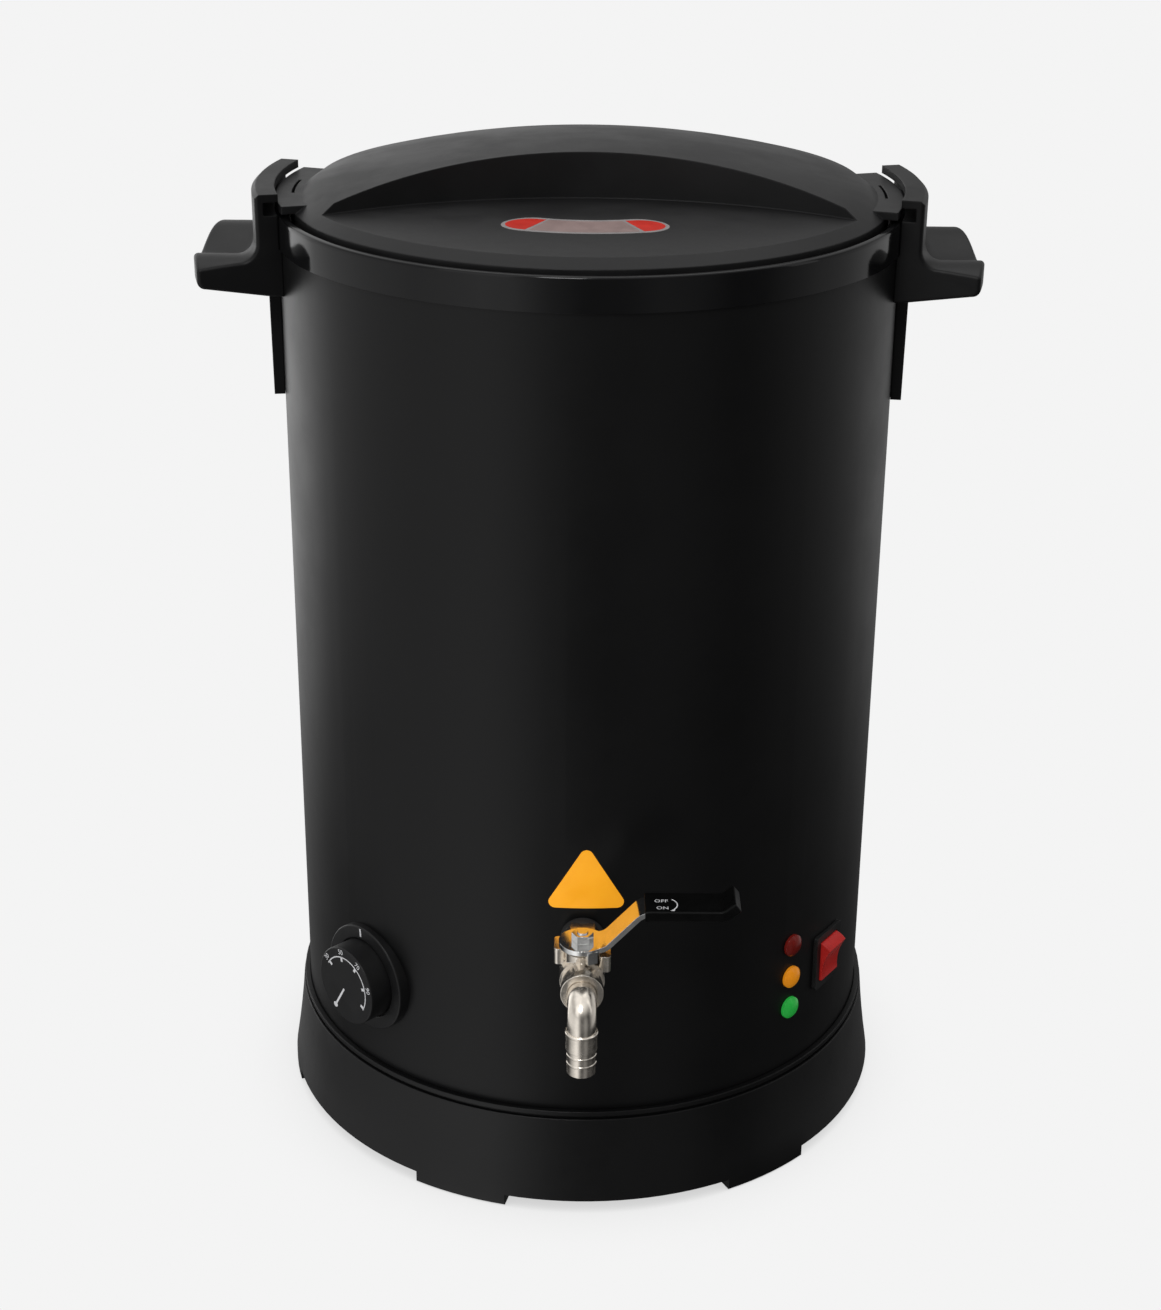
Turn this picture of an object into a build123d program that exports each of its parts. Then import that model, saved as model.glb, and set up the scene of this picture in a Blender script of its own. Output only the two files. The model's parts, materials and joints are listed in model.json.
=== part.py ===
from build123d import *
import os
from math import asin, cos, degrees, radians, sin, sqrt

os.makedirs("parts", exist_ok=True)

# All sizes are millimetres. The origin is on the pot's axis at floor level, +Z is up,
# the tap is at the front on -Y, and angles run from the front towards +X.

# Fits and clearances
seat_gap = 0.05
thread_gap = 0.05
bearing_gap = 0.05
moving_gap = 0.4
cutout_gap = 0.2

# Outer shell, vessel and rim
body_radius = 150.0
shell_wall = 0.8
shell_bottom = 46.0
shell_height = 423.0
jacket_width = 12.0
vessel_wall = 1.0
vessel_floor = 132.0
vessel_corner = 5.0
ring_wall = 1.2
ring_drop = 9.3
ring_rise = 5.6
ring_lip_width = 3.3
ring_floor_height = 1.5
ring_round = 1.0
insulation_thickness = 6.0

# Base ring, plate and feet
bead_width = 3.0
bead_height = 2.6
groove_height = 1.4
groove_depth = 1.5
collar_height = 9.0
skirt_step = 0.7
skirt_flare = 5.8
skirt_bow = 0.5
skirt_bottom = 6.2
skirt_wall = 3.0
ledge_width = 4.0
ledge_height = 3.0
web_bottom = 12.0
web_height = 3.0
web_width = 16.0
plate_thickness = 1.2
plate_screw_radius = 1.75
plate_screw_length = 8.0
vent_count = 12
vent_length = 30.0
vent_width = 4.0
vent_setback = 60.0
foot_count = 6
foot_first_angle = -22.7
foot_half_angle = 9.0
foot_wall = 2.0
foot_bottom = 0.5
foot_width = 10.0
pad_thickness = 4.0

# Lid
lid_setback = 6.0
lid_gap = 0.6
lid_wall = 2.5
lid_rim_height = 4.1
lid_shoulder_height = 8.9
lid_shoulder_width = 12.5
dome_rise = 17.7
recess_floor_rise = 4.2
recess_wall_radius = 200.0
recess_front_reach = 21.5
gasket_height = 3.0
gasket_width = 1.7
liner_thickness = 1.0
lid_boss_radius = 5.0
lid_boss_setback = 44.0
lid_boss_first_angle = 45.0
lid_screw_radius = 1.5
lid_screw_length = 4.0
lid_screw_count = 4
tab_half_angle = 17.7
tab_thickness = 3.8
tab_lift = 1.7
tab_slot_half_angle = 6.0
tab_slot_width = 1.4
tab_slot_setback = 0.9

# Handles
handle_half_angle = 15.5
handle_root_drop = 32.0
lip_overhang = 7.0
lip_thickness = 3.8
lip_gap = 0.9
post_reach = 12.0
post_thickness = 4.0
grip_reach = 40.5
grip_rise = 5.2
grip_corner = 4.0
grip_crest = 18.2
grip_crest_place = 30.0
grip_valley = 11.0
grip_end_level = 13.5
grip_root_round = 8.0
wing_round = 2.0
strap_half_angle = 7.6
strap_length = 54.0
strap_top_thickness = 5.8
strap_end_thickness = 5.3
handle_screw_radius = 2.5
handle_screw_reach = 4.0
handle_screw_drops = (-13.0, 42.0)

# Tap
tap_rise = 21.5
nipple_radius = 8.3
nipple_bore = 5.5
nipple_inner_end = 11.0
locknut_flats = 22.0
locknut_thickness = 6.0
tap_seal_radius = 10.5
tap_seal_thickness = 4.0
tap_spacer_wall = 3.0
valve_rear_flats = 20.0
valve_rear_length = 12.0
valve_radius = 10.5
valve_front_radius = 9.5
valve_stem_offset = 33.0
valve_front_offset = 47.0
valve_neck_radius = 8.0
valve_neck_height = 12.7
valve_port = 4.5
ball_radius = 7.5
ball_bore = 4.0
ball_room = 0.9
seat_ring_thickness = 4.5
seat_ring_web = 1.5
ball_seat_gap = 0.08
ball_slot_width = 4.0
ball_slot_depth = 2.5
stem_radius = 3.5
stem_flat = 1.0
stem_proud = 0.6
packing_nut_flats = 12.0
packing_nut_height = 2.2
packing_thread_radius = 4.8
packing_thread_length = 1.8
ear_width = 5.5
ear_top = 12.0
ear_height = 8.0
ear_length = 12.0
left_ear_setback = 7.0
cap_collar_radius = 10.0
cap_collar_length = 5.0
spout_radius = 6.8
spout_bore = 4.5
spout_offset = 64.0
spout_bend = 9.5
spout_drop = 33.2
barb_top_drop = 12.2
barb_land_drop = 21.2
barb_land_radius = 7.4
barb_ridge_radius = 7.65
barb_ridge_height = 1.6
barb_low_drops = (23.6, 27.8)
barb_low_radius = 7.05

# Valve lever
lever_thickness = 2.4
lever_hub_radius = 11.0
lever_ramp_start = 10.0
lever_ramp_end = 27.5
lever_grip_rise = 35.5
lever_length = 70.0
lever_curl_length = 5.0
lever_curl_rise = 4.0
lever_width = 16.0
lever_bend = 8.0
sleeve_start = 28.5
sleeve_wall = 1.5
sleeve_round = 1.2
lever_nut_flats = 9.0
lever_nut_height = 4.0
stop_tab_angle = 26.0
stop_tab_width = 5.0

# Thermostat and knob
knob_angle = -45.8
knob_height = 103.5
knob_radius = 20.6
knob_face = 15.5
knob_wall = 2.5
knob_hub_radius = 6.0
knob_edge = 0.8
bezel_radius = 28.0
bezel_face = 3.5
bezel_web = 2.0
shaft_radius = 3.0
shaft_flat = 1.0
shaft_depth = 14.0
thermostat_width = 38.0
thermostat_height = 34.0
thermostat_depth = 28.0
thermostat_nose_radius = 5.0
thermostat_screw_radius = 2.0
thermostat_screw_offset = 14.0
thermostat_screw_length = 9.0
bulb_radius = 2.5
bulb_length = 60.0
bulb_setback = 22.0
bulb_turn = 29.0
capillary_radius = 0.8

# Indicator lamps
lamp_angle = 44.4
lamp_heights = (125.0, 106.7, 88.8)
lamp_names = ("red", "amber", "green")
lens_radius = 5.8
lens_edge = 1.6
lens_crown = 4.0
lens_stem_radius = 3.5
lens_stem_length = 6.0
lamp_body_radius = 5.0
lamp_body_length = 22.0
lamp_nut_radius = 8.4
lamp_nut_thickness = 3.0

# Rocker switch
switch_angle = 56.4
switch_height = 105.2
rocker_width = 16.7
rocker_end_radius = 11.2
rocker_top = 6.3
rocker_dish = 1.6
rocker_tilt = 12.0
rocker_depth = 5.0
rocker_pivot = -1.0
rocker_pin_radius = 1.5
rocker_pin_length = 1.2
switch_wall = 1.6
switch_bezel_edge = 2.2
switch_bezel_face = 1.8
switch_depth = 24.0

# Mains inlet at the back
inlet_angle = 180.0
inlet_height = 95.0
inlet_mouth_width = 24.4
inlet_mouth_height = 16.4
inlet_mouth_depth = 16.0
inlet_wall = 1.6
inlet_flange_width = 50.0
inlet_flange_height = 24.0
inlet_flange_face = 3.5
inlet_back = 4.0
inlet_pin_width = 2.0
inlet_pin_height = 4.0
inlet_pin_length = 12.0
inlet_pin_spread = 7.0
inlet_pin_shift = 2.0
inlet_tab_length = 8.0
inlet_screw_offset = 20.0
inlet_screw_radius = 1.5
inlet_screw_length = 10.0

# Heater and wiring
heater_margin = 38.0
heater_plate_thickness = 5.0
element_setback = 30.0
element_radius = 4.0
element_sink = 2.5
element_arc = 320.0
element_gap_angle = 180.0
element_pin_radius = 1.5
element_pin_length = 14.0
element_pin_lap = 2.8
tie_rod_radius = 3.0
tie_rod_grip = 3.0
tie_nut_flats = 10.0
tie_nut_height = 5.0
cutout_radius = 8.0
cutout_height = 9.0
cutout_setback = 32.0
cutout_ear = 15.0
cutout_screw_spread = 11.5
cutout_ear_thickness = 1.5
cutout_screw_radius = 1.5
cutout_screw_length = 4.0
block_length = 46.0
block_width = 20.0
block_height = 16.0
block_place = 62.0
block_screw_radius = 1.5
block_screw_spread = 19.0
wire_radius = 1.3
wire_bend = 8.0
wire_spread = 6.0
earth_stud_radius = 2.0
earth_stud_height = 12.0
earth_stud_place = (-50.0, 40.0)

# Screw heads, shared by every screw of the pot
head_ratio = 1.8
head_height_ratio = 1.1

# Levels and radii that follow from the sizes above
vessel_radius = body_radius - jacket_width
lid_radius = body_radius - lid_setback
lid_boss_circle = lid_radius - lid_boss_setback
vent_circle = body_radius - vent_setback
heater_plate_radius = vessel_radius - heater_margin
element_circle = heater_plate_radius - element_setback
cutout_place = element_circle - cutout_setback
bulb_circle = vessel_radius - bulb_setback
shell_top = shell_bottom + shell_height
shell_inner = body_radius - shell_wall
flange_top = shell_top + vessel_wall
vessel_outer = vessel_radius + vessel_wall
vessel_underside = vessel_floor - vessel_wall
ring_bore = lid_radius + lid_gap
ring_outer = body_radius + seat_gap + ring_wall
ring_lip_inner = ring_outer - ring_lip_width
ring_bottom = shell_top - ring_drop
ring_top = flange_top + ring_rise
ring_floor = flange_top + ring_floor_height
lid_bottom = flange_top + gasket_height
lid_edge = lid_bottom + lid_rim_height
lid_floor = lid_edge + recess_floor_rise
shoulder_top = lid_edge + lid_shoulder_height
shoulder_radius = lid_radius - lid_shoulder_width
lid_peak = shoulder_top + dome_rise
dome_radius = (shoulder_radius**2 + dome_rise**2) / (2 * dome_rise)
dome_center = lid_peak - dome_radius
tab_bottom = ring_top + tab_lift
tab_top = tab_bottom + tab_thickness
handle_inner = body_radius + seat_gap
handle_root_bottom = shell_top - handle_root_drop
lip_inner = body_radius + post_reach - post_thickness - lip_overhang
lip_bottom = tab_top + lip_gap
lip_top = lip_bottom + lip_thickness
tab_outer = lip_inner - moving_gap
tab_slot_outer = lid_radius - tab_slot_setback
tab_slot_inner = tab_slot_outer - tab_slot_width
base_top = shell_bottom + collar_height
bead_radius = body_radius + bead_width
skirt_top_radius = bead_radius + skirt_step
skirt_bottom_radius = skirt_top_radius + skirt_flare
skirt_top = base_top - bead_height - groove_height
base_plate_radius = body_radius - ledge_width
base_plate_bottom = web_bottom - plate_thickness
web_inner = body_radius - web_width
plate_screw_circle = (web_inner + base_plate_radius) / 2
tap_height = vessel_floor + tap_rise
stem_distance = body_radius + valve_stem_offset
valve_front = body_radius + valve_front_offset
valve_rear = body_radius + tap_seal_thickness
neck_top = tap_height + valve_neck_height
lever_bottom = neck_top + packing_nut_height + moving_gap
lever_top = lever_bottom + lever_thickness
lever_grip_height = tap_height + lever_grip_rise
heater_bottom = vessel_underside - heater_plate_thickness
element_height = heater_bottom + element_sink - element_radius


def wall_plane(angle, radius, height):
    """Plane that faces outward at an angle round the pot, with its y running up."""
    turn = radians(angle)
    outward = (sin(turn), -cos(turn), 0)
    place = (radius * outward[0], radius * outward[1], height)
    return Plane(origin=place, x_dir=(cos(turn), sin(turn), 0), z_dir=outward)


def radial_plane(angle):
    """Upright plane through the pot's axis, with x outward and y up."""
    turn = radians(angle)
    return Plane(
        origin=(0, 0, 0),
        x_dir=(sin(turn), -cos(turn), 0),
        z_dir=(-cos(turn), -sin(turn), 0),
    )


def moved(plane, sideways, outward):
    """The same plane, moved along its x and along its normal."""
    place = plane.from_local_coords((sideways, 0, outward))
    return Plane(origin=place, x_dir=plane.x_dir, z_dir=plane.z_dir)


def inner_seat(width):
    """Distance from the axis at which a flat piece of this width meets the shell inside."""
    return sqrt(shell_inner**2 - (width / 2) ** 2)


def keep_outside(radius):
    """Cut the piece in hand back to a radius about the pot's axis."""
    Cylinder(radius, 2 * lid_peak, mode=Mode.SUBTRACT)


def screw(plane, radius, length):
    """Pan-head screw: its head stands on the plane and its shank runs the other way."""
    with BuildSketch(plane) as head:
        Circle(head_ratio * radius)
    extrude(head.sketch, amount=head_height_ratio * radius)
    with BuildSketch(plane) as shank:
        Circle(radius)
    extrude(shank.sketch, amount=-length)


def save(builder, name):
    """Label a finished piece and write it to its own file."""
    builder.part.label = name
    export_step(builder.part, f"parts/{name}.step")


# Base ring: flared skirt, bead, ledge for the shell, web for the bottom plate and foot lobes
skirt_middle = (skirt_bottom + skirt_top) / 2
skirt_middle_radius = (skirt_bottom_radius + skirt_top_radius) / 2 - skirt_bow
collar_inner = body_radius + cutout_gap
ledge_inner = body_radius - ledge_width
ledge_bottom = shell_bottom - ledge_height
foot_angles = [foot_first_angle + i * 360 / foot_count for i in range(foot_count)]
foot_outer = skirt_bottom_radius
foot_inner = foot_outer - foot_width
pad_inner = foot_inner + foot_wall
pad_outer = foot_outer - foot_wall
pad_half_angle = foot_half_angle - degrees(foot_wall / foot_outer)
plate_screw_angles = [angle + 180 / foot_count for angle in foot_angles]
plate_screw_places = [
    wall_plane(angle, plate_screw_circle, 0).origin for angle in plate_screw_angles
]

with BuildPart() as base_ring:
    with BuildSketch(Plane.XZ):
        with BuildLine():
            Polyline(
                (skirt_top_radius, skirt_top),
                (bead_radius - groove_depth, skirt_top),
                (bead_radius - groove_depth, skirt_top + groove_height),
                (bead_radius, skirt_top + groove_height),
                (bead_radius, base_top),
                (collar_inner, base_top),
                (collar_inner, shell_bottom),
                (ledge_inner, shell_bottom),
                (ledge_inner, ledge_bottom),
                (skirt_top_radius - skirt_wall, ledge_bottom),
                (skirt_bottom_radius - skirt_wall, web_bottom + web_height),
                (web_inner, web_bottom + web_height),
                (web_inner, web_bottom),
                (skirt_bottom_radius - skirt_wall, web_bottom),
                (skirt_bottom_radius - skirt_wall, skirt_bottom),
                (skirt_bottom_radius, skirt_bottom),
            )
            ThreePointArc(
                (skirt_bottom_radius, skirt_bottom),
                (skirt_middle_radius, skirt_middle),
                (skirt_top_radius, skirt_top),
            )
        make_face()
    revolve(axis=Axis.Z)
    with BuildSketch(*[radial_plane(a - foot_half_angle) for a in foot_angles]):
        with BuildLine():
            Polyline(
                (foot_inner, foot_bottom),
                (foot_outer, foot_bottom),
                (foot_outer, skirt_bottom),
                (foot_outer - skirt_wall / 2, web_bottom + web_height / 2),
                (foot_inner, web_bottom + web_height / 2),
                close=True,
            )
        make_face()
    revolve(axis=Axis.Z, revolution_arc=2 * foot_half_angle)
    with BuildSketch(*[radial_plane(a - pad_half_angle) for a in foot_angles]):
        with BuildLine():
            Polyline(
                (pad_inner, 0),
                (pad_outer, 0),
                (pad_outer, pad_thickness),
                (pad_inner, pad_thickness),
                close=True,
            )
        make_face()
    revolve(axis=Axis.Z, revolution_arc=2 * pad_half_angle, mode=Mode.SUBTRACT)
    with BuildSketch(Plane.XY.offset(web_bottom)):
        with Locations(*plate_screw_places):
            Circle(2 * plate_screw_radius)
    extrude(amount=plate_screw_length)
    with BuildSketch(Plane.XY.offset(web_bottom)):
        with Locations(*plate_screw_places):
            Circle(plate_screw_radius + thread_gap)
    extrude(amount=plate_screw_length, mode=Mode.SUBTRACT)
save(base_ring, "base_ring")

# Rubber pads pressed into the foot lobes
pad_turn = degrees(seat_gap / foot_outer)

with BuildPart() as foot_pads:
    with BuildSketch(*[radial_plane(a - pad_half_angle + pad_turn) for a in foot_angles]):
        with BuildLine():
            Polyline(
                (pad_inner + seat_gap, 0),
                (pad_outer - seat_gap, 0),
                (pad_outer - seat_gap, pad_thickness),
                (pad_inner + seat_gap, pad_thickness),
                close=True,
            )
        make_face()
    revolve(axis=Axis.Z, revolution_arc=2 * (pad_half_angle - pad_turn))
save(foot_pads, "foot_pads")

# Bottom plate with vents, screwed up against the web
block_screw_places = [(-block_screw_spread, block_place), (block_screw_spread, block_place)]

with BuildPart() as base_plate:
    with BuildSketch(Plane.XY.offset(base_plate_bottom)):
        Circle(min(base_plate_radius, foot_inner - cutout_gap))
        with Locations(*plate_screw_places):
            Circle(plate_screw_radius + cutout_gap, mode=Mode.SUBTRACT)
        with PolarLocations(vent_circle, vent_count):
            SlotOverall(vent_length, vent_width, mode=Mode.SUBTRACT)
        Circle(tie_rod_radius + cutout_gap, mode=Mode.SUBTRACT)
        with Locations(*block_screw_places):
            Circle(block_screw_radius + thread_gap, mode=Mode.SUBTRACT)
        with Locations(earth_stud_place):
            Circle(earth_stud_radius + thread_gap, mode=Mode.SUBTRACT)
    extrude(amount=plate_thickness)
save(base_plate, "base_plate")

with BuildPart() as base_screws:
    for angle in plate_screw_angles:
        place = wall_plane(angle, plate_screw_circle, base_plate_bottom).origin
        screw(Plane(place, z_dir=(0, 0, -1)), plate_screw_radius, plate_screw_length)
save(base_screws, "base_screws")

# Outer shell, with a cut-out for each control, the tap, the inlet and the handle screws
handle_screw_heights = [handle_root_bottom - drop for drop in handle_screw_drops]
handle_screw_planes = [
    wall_plane(side, inner_seat(2 * head_ratio * handle_screw_radius), height)
    for side in (-90, 90)
    for height in handle_screw_heights
]
rocker_pocket_height = 2 * (rocker_end_radius + moving_gap)
switch_body_width = rocker_width + 2 * moving_gap + 2 * switch_wall
switch_body_height = rocker_pocket_height + 2 * switch_wall
inlet_body_width = inlet_mouth_width + 2 * inlet_wall
inlet_body_height = inlet_mouth_height + 2 * inlet_wall
knob_plane = wall_plane(knob_angle, body_radius, knob_height)
lamp_planes = [wall_plane(lamp_angle, body_radius, height) for height in lamp_heights]
switch_plane = wall_plane(switch_angle, body_radius, switch_height)
inlet_plane = wall_plane(inlet_angle, body_radius, inlet_height)
tap_plane = wall_plane(0, body_radius, tap_height)
cut_depth = body_radius / 8

with BuildPart() as outer_shell:
    with BuildSketch(Plane.XY.offset(shell_bottom)):
        Circle(body_radius)
        Circle(shell_inner, mode=Mode.SUBTRACT)
    extrude(amount=shell_height)
    with BuildSketch(tap_plane):
        Circle(nipple_radius + cutout_gap)
    with BuildSketch(*lamp_planes):
        Circle(lamp_body_radius + cutout_gap)
    with BuildSketch(knob_plane):
        Circle(thermostat_nose_radius + cutout_gap)
        with GridLocations(2 * thermostat_screw_offset, 0, 2, 1):
            Circle(thermostat_screw_radius + cutout_gap)
    with BuildSketch(switch_plane):
        Rectangle(switch_body_width + 2 * cutout_gap, switch_body_height + 2 * cutout_gap)
    with BuildSketch(inlet_plane):
        Rectangle(inlet_body_width + 2 * cutout_gap, inlet_body_height + 2 * cutout_gap)
        with GridLocations(2 * inlet_screw_offset, 0, 2, 1):
            Circle(inlet_screw_radius + thread_gap)
    with BuildSketch(*handle_screw_planes):
        Circle(handle_screw_radius + cutout_gap)
    extrude(amount=cut_depth, both=True, mode=Mode.SUBTRACT)
save(outer_shell, "outer_shell")

# Vessel: deep-drawn pot with a flange that lies on the shell's top edge
with BuildPart() as inner_vessel:
    with BuildSketch(Plane.XZ):
        with BuildLine():
            Polyline(
                (0, vessel_floor),
                (vessel_radius - vessel_corner, vessel_floor),
            )
            RadiusArc(
                (vessel_radius - vessel_corner, vessel_floor),
                (vessel_radius, vessel_floor + vessel_corner),
                -vessel_corner,
            )
            Polyline(
                (vessel_radius, vessel_floor + vessel_corner),
                (vessel_radius, flange_top),
                (body_radius, flange_top),
                (body_radius, shell_top),
                (vessel_outer, shell_top),
                (vessel_outer, vessel_floor + vessel_corner),
            )
            RadiusArc(
                (vessel_outer, vessel_floor + vessel_corner),
                (vessel_radius - vessel_corner, vessel_underside),
                vessel_corner + vessel_wall,
            )
            Polyline(
                (vessel_radius - vessel_corner, vessel_underside),
                (0, vessel_underside),
                (0, vessel_floor),
            )
        make_face()
    revolve(axis=Axis.Z)
    with BuildSketch(tap_plane):
        Circle(nipple_radius + cutout_gap)
    extrude(amount=-2 * cut_depth, mode=Mode.SUBTRACT)
save(inner_vessel, "inner_vessel")

# Rim ring: covers the flange and the shell's top edge
with BuildPart() as rim_ring:
    with BuildSketch(Plane.XZ):
        with BuildLine():
            Polyline(
                (ring_outer - ring_round, ring_top),
                (ring_lip_inner, ring_top),
                (ring_lip_inner, ring_floor),
                (ring_bore, ring_floor),
                (ring_bore, flange_top),
                (body_radius + seat_gap, flange_top),
                (body_radius + seat_gap, ring_bottom),
                (ring_outer, ring_bottom),
                (ring_outer, ring_top - 2 * ring_round),
            )
            TangentArc(
                (ring_outer, ring_top - 2 * ring_round),
                (ring_outer - ring_round, ring_top),
                tangent=(0, 1),
            )
        make_face()
    revolve(axis=Axis.Z)
save(rim_ring, "rim_ring")

# Insulation wrapped round the vessel
with BuildPart() as insulation_blanket:
    with BuildSketch(Plane.XY.offset(vessel_floor + vessel_corner)):
        Circle(vessel_outer + cutout_gap + insulation_thickness)
        Circle(vessel_outer + cutout_gap, mode=Mode.SUBTRACT)
    extrude(amount=shell_top - cutout_gap - vessel_floor - vessel_corner)
    with BuildSketch(tap_plane):
        Circle(nipple_radius + tap_spacer_wall + 2 * cutout_gap)
    extrude(amount=-cut_depth, mode=Mode.SUBTRACT)
save(insulation_blanket, "insulation_blanket")


# Lid cover: low dome with a half-moon finger recess at the front and two locking tabs
def lid_recess(growth):
    """Space of the finger recess, grown by a wall thickness below and behind."""
    with BuildPart() as space:
        with BuildSketch(Plane.XY.offset(lid_floor - growth)):
            with Locations((0, -recess_wall_radius - recess_front_reach)):
                Circle(recess_wall_radius + growth)
        extrude(amount=lid_peak)
    return space.part


def dome_point(radius, depth):
    """Point of the dome at this radius, taken a wall thickness below the outside."""
    return (radius, dome_center + sqrt((dome_radius - depth) ** 2 - radius**2))


recess = lid_recess(0)
recess_with_wall = lid_recess(lid_wall)
hollow_radius = lid_radius - lid_wall
shoulder_slope = lid_shoulder_height / lid_shoulder_width
hollow_corner = lid_edge + lid_wall * (shoulder_slope - sqrt(1 + shoulder_slope**2))
hollow_shoulder = shoulder_radius - lid_wall / 2
lid_boss_bottom = lid_bottom + liner_thickness
lid_boss_places = [
    wall_plane(lid_boss_first_angle + i * 360 / lid_screw_count, lid_boss_circle, 0).origin
    for i in range(lid_screw_count)
]
tab_sides = (-90, 90)

with BuildPart() as lid_hollow:
    with BuildSketch(Plane.XZ):
        with BuildLine():
            Polyline(
                dome_point(0, lid_wall),
                (0, lid_bottom),
                (hollow_radius, lid_bottom),
                (hollow_radius, hollow_corner),
                dome_point(hollow_shoulder, lid_wall),
            )
            ThreePointArc(
                dome_point(hollow_shoulder, lid_wall),
                dome_point(hollow_shoulder / 2, lid_wall),
                dome_point(0, lid_wall),
            )
        make_face()
    revolve(axis=Axis.Z)
    add(recess_with_wall, mode=Mode.SUBTRACT)
    with BuildSketch(Plane.XY.offset(lid_boss_bottom)):
        with Locations(*lid_boss_places):
            Circle(lid_boss_radius)
            Circle(lid_screw_radius + thread_gap, mode=Mode.SUBTRACT)
    extrude(amount=lid_shoulder_height + dome_rise, mode=Mode.SUBTRACT)

with BuildPart() as lid_cover:
    with BuildSketch(Plane.XZ):
        with BuildLine():
            Polyline(
                (0, lid_peak),
                (0, lid_bottom),
                (lid_radius, lid_bottom),
                (lid_radius, lid_edge),
                (shoulder_radius, shoulder_top),
            )
            ThreePointArc(
                (shoulder_radius, shoulder_top), dome_point(shoulder_radius / 2, 0), (0, lid_peak)
            )
        make_face()
    revolve(axis=Axis.Z)
    add(recess, mode=Mode.SUBTRACT)
    with BuildSketch(*[radial_plane(side - tab_half_angle) for side in tab_sides]):
        with BuildLine():
            Polyline(
                (shoulder_radius, tab_bottom),
                (tab_outer, tab_bottom),
                (tab_outer, tab_top),
                (shoulder_radius, tab_top),
                close=True,
            )
        make_face()
    revolve(axis=Axis.Z, revolution_arc=2 * tab_half_angle)
    with BuildSketch(*[radial_plane(side - tab_slot_half_angle) for side in tab_sides]):
        with BuildLine():
            Polyline(
                (tab_slot_inner, tab_bottom),
                (tab_slot_outer, tab_bottom),
                (tab_slot_outer, tab_top),
                (tab_slot_inner, tab_top),
                close=True,
            )
        make_face()
    revolve(axis=Axis.Z, revolution_arc=2 * tab_slot_half_angle, mode=Mode.SUBTRACT)
    add(lid_hollow.part, mode=Mode.SUBTRACT)
save(lid_cover, "lid_cover")

# Plate that closes the underside of the lid, its screws and the seal under the rim
with BuildPart() as lid_liner:
    with BuildSketch(Plane.XY.offset(lid_bottom)):
        Circle(hollow_radius - cutout_gap)
        with Locations(*lid_boss_places):
            Circle(lid_screw_radius + cutout_gap, mode=Mode.SUBTRACT)
    extrude(amount=liner_thickness)
save(lid_liner, "lid_liner")

with BuildPart() as lid_screws:
    for place in lid_boss_places:
        screw(Plane((place.X, place.Y, lid_bottom), z_dir=(0, 0, -1)), lid_screw_radius, lid_screw_length)
save(lid_screws, "lid_screws")

with BuildPart() as lid_gasket:
    with BuildSketch(Plane.XY.offset(flange_top)):
        Circle(lid_radius - lid_gap / 2)
        Circle(lid_radius - lid_gap / 2 - gasket_width, mode=Mode.SUBTRACT)
    extrude(amount=gasket_height)
save(lid_gasket, "lid_gasket")


# Handles: lip over the lid tab, post, grip wing and a strap down the shell
post_outer = body_radius + post_reach
post_inner = post_outer - post_thickness
grip_end = body_radius + grip_reach
root_outer = body_radius + strap_top_thickness
ring_clear = ring_outer + cutout_gap
grip_low = handle_root_bottom + grip_rise
wing_top = handle_root_bottom + grip_crest + wing_round
grip_half = grip_end * sin(radians(handle_half_angle)) + wing_round
strap_bottom = handle_root_bottom - strap_length
grip_line = [
    (-grip_half, handle_root_bottom + grip_end_level),
    (-grip_crest_place, handle_root_bottom + grip_crest),
    (0, handle_root_bottom + grip_valley),
    (grip_crest_place, handle_root_bottom + grip_crest),
    (grip_half, handle_root_bottom + grip_end_level),
]


def is_end_face(face):
    """Whether a face of a handle is one of its two flat upright ends."""
    return face.geom_type == GeomType.PLANE and abs(face.normal_at().Z) < seat_gap


def reach(edge):
    """Distance of an edge's middle from the pot's axis."""
    middle = edge.position_at(0.5)
    return sqrt(middle.X**2 + middle.Y**2)


def at_grip_root(edge):
    """Whether an edge of a handle is the one where its wing's top meets the post."""
    return abs(reach(edge) - post_outer) < seat_gap and edge.position_at(0.5).Z < wing_top


def at_grip_brow(edge):
    """Whether an edge of a handle runs along the top of its wing's outer face."""
    above_corner = edge.position_at(0.5).Z > grip_low + grip_corner + seat_gap
    return abs(reach(edge) - grip_end) < seat_gap and above_corner


def on_wing(edge):
    """Whether an edge of a handle lies out on its grip wing."""
    return reach(edge) > post_outer + grip_root_round


def grip_space(side):
    """Space above a grip wing: its floor has a hump near each end and a valley between."""
    with BuildPart() as space:
        with BuildSketch(wall_plane(side, 0, 0)):
            with BuildLine():
                Spline(*grip_line)
                Polyline(
                    grip_line[-1],
                    (grip_half, 2 * lid_peak),
                    (-grip_half, 2 * lid_peak),
                    grip_line[0],
                )
            make_face()
        extrude(amount=2 * body_radius)
        keep_outside(post_outer)
    return space.part


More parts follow.
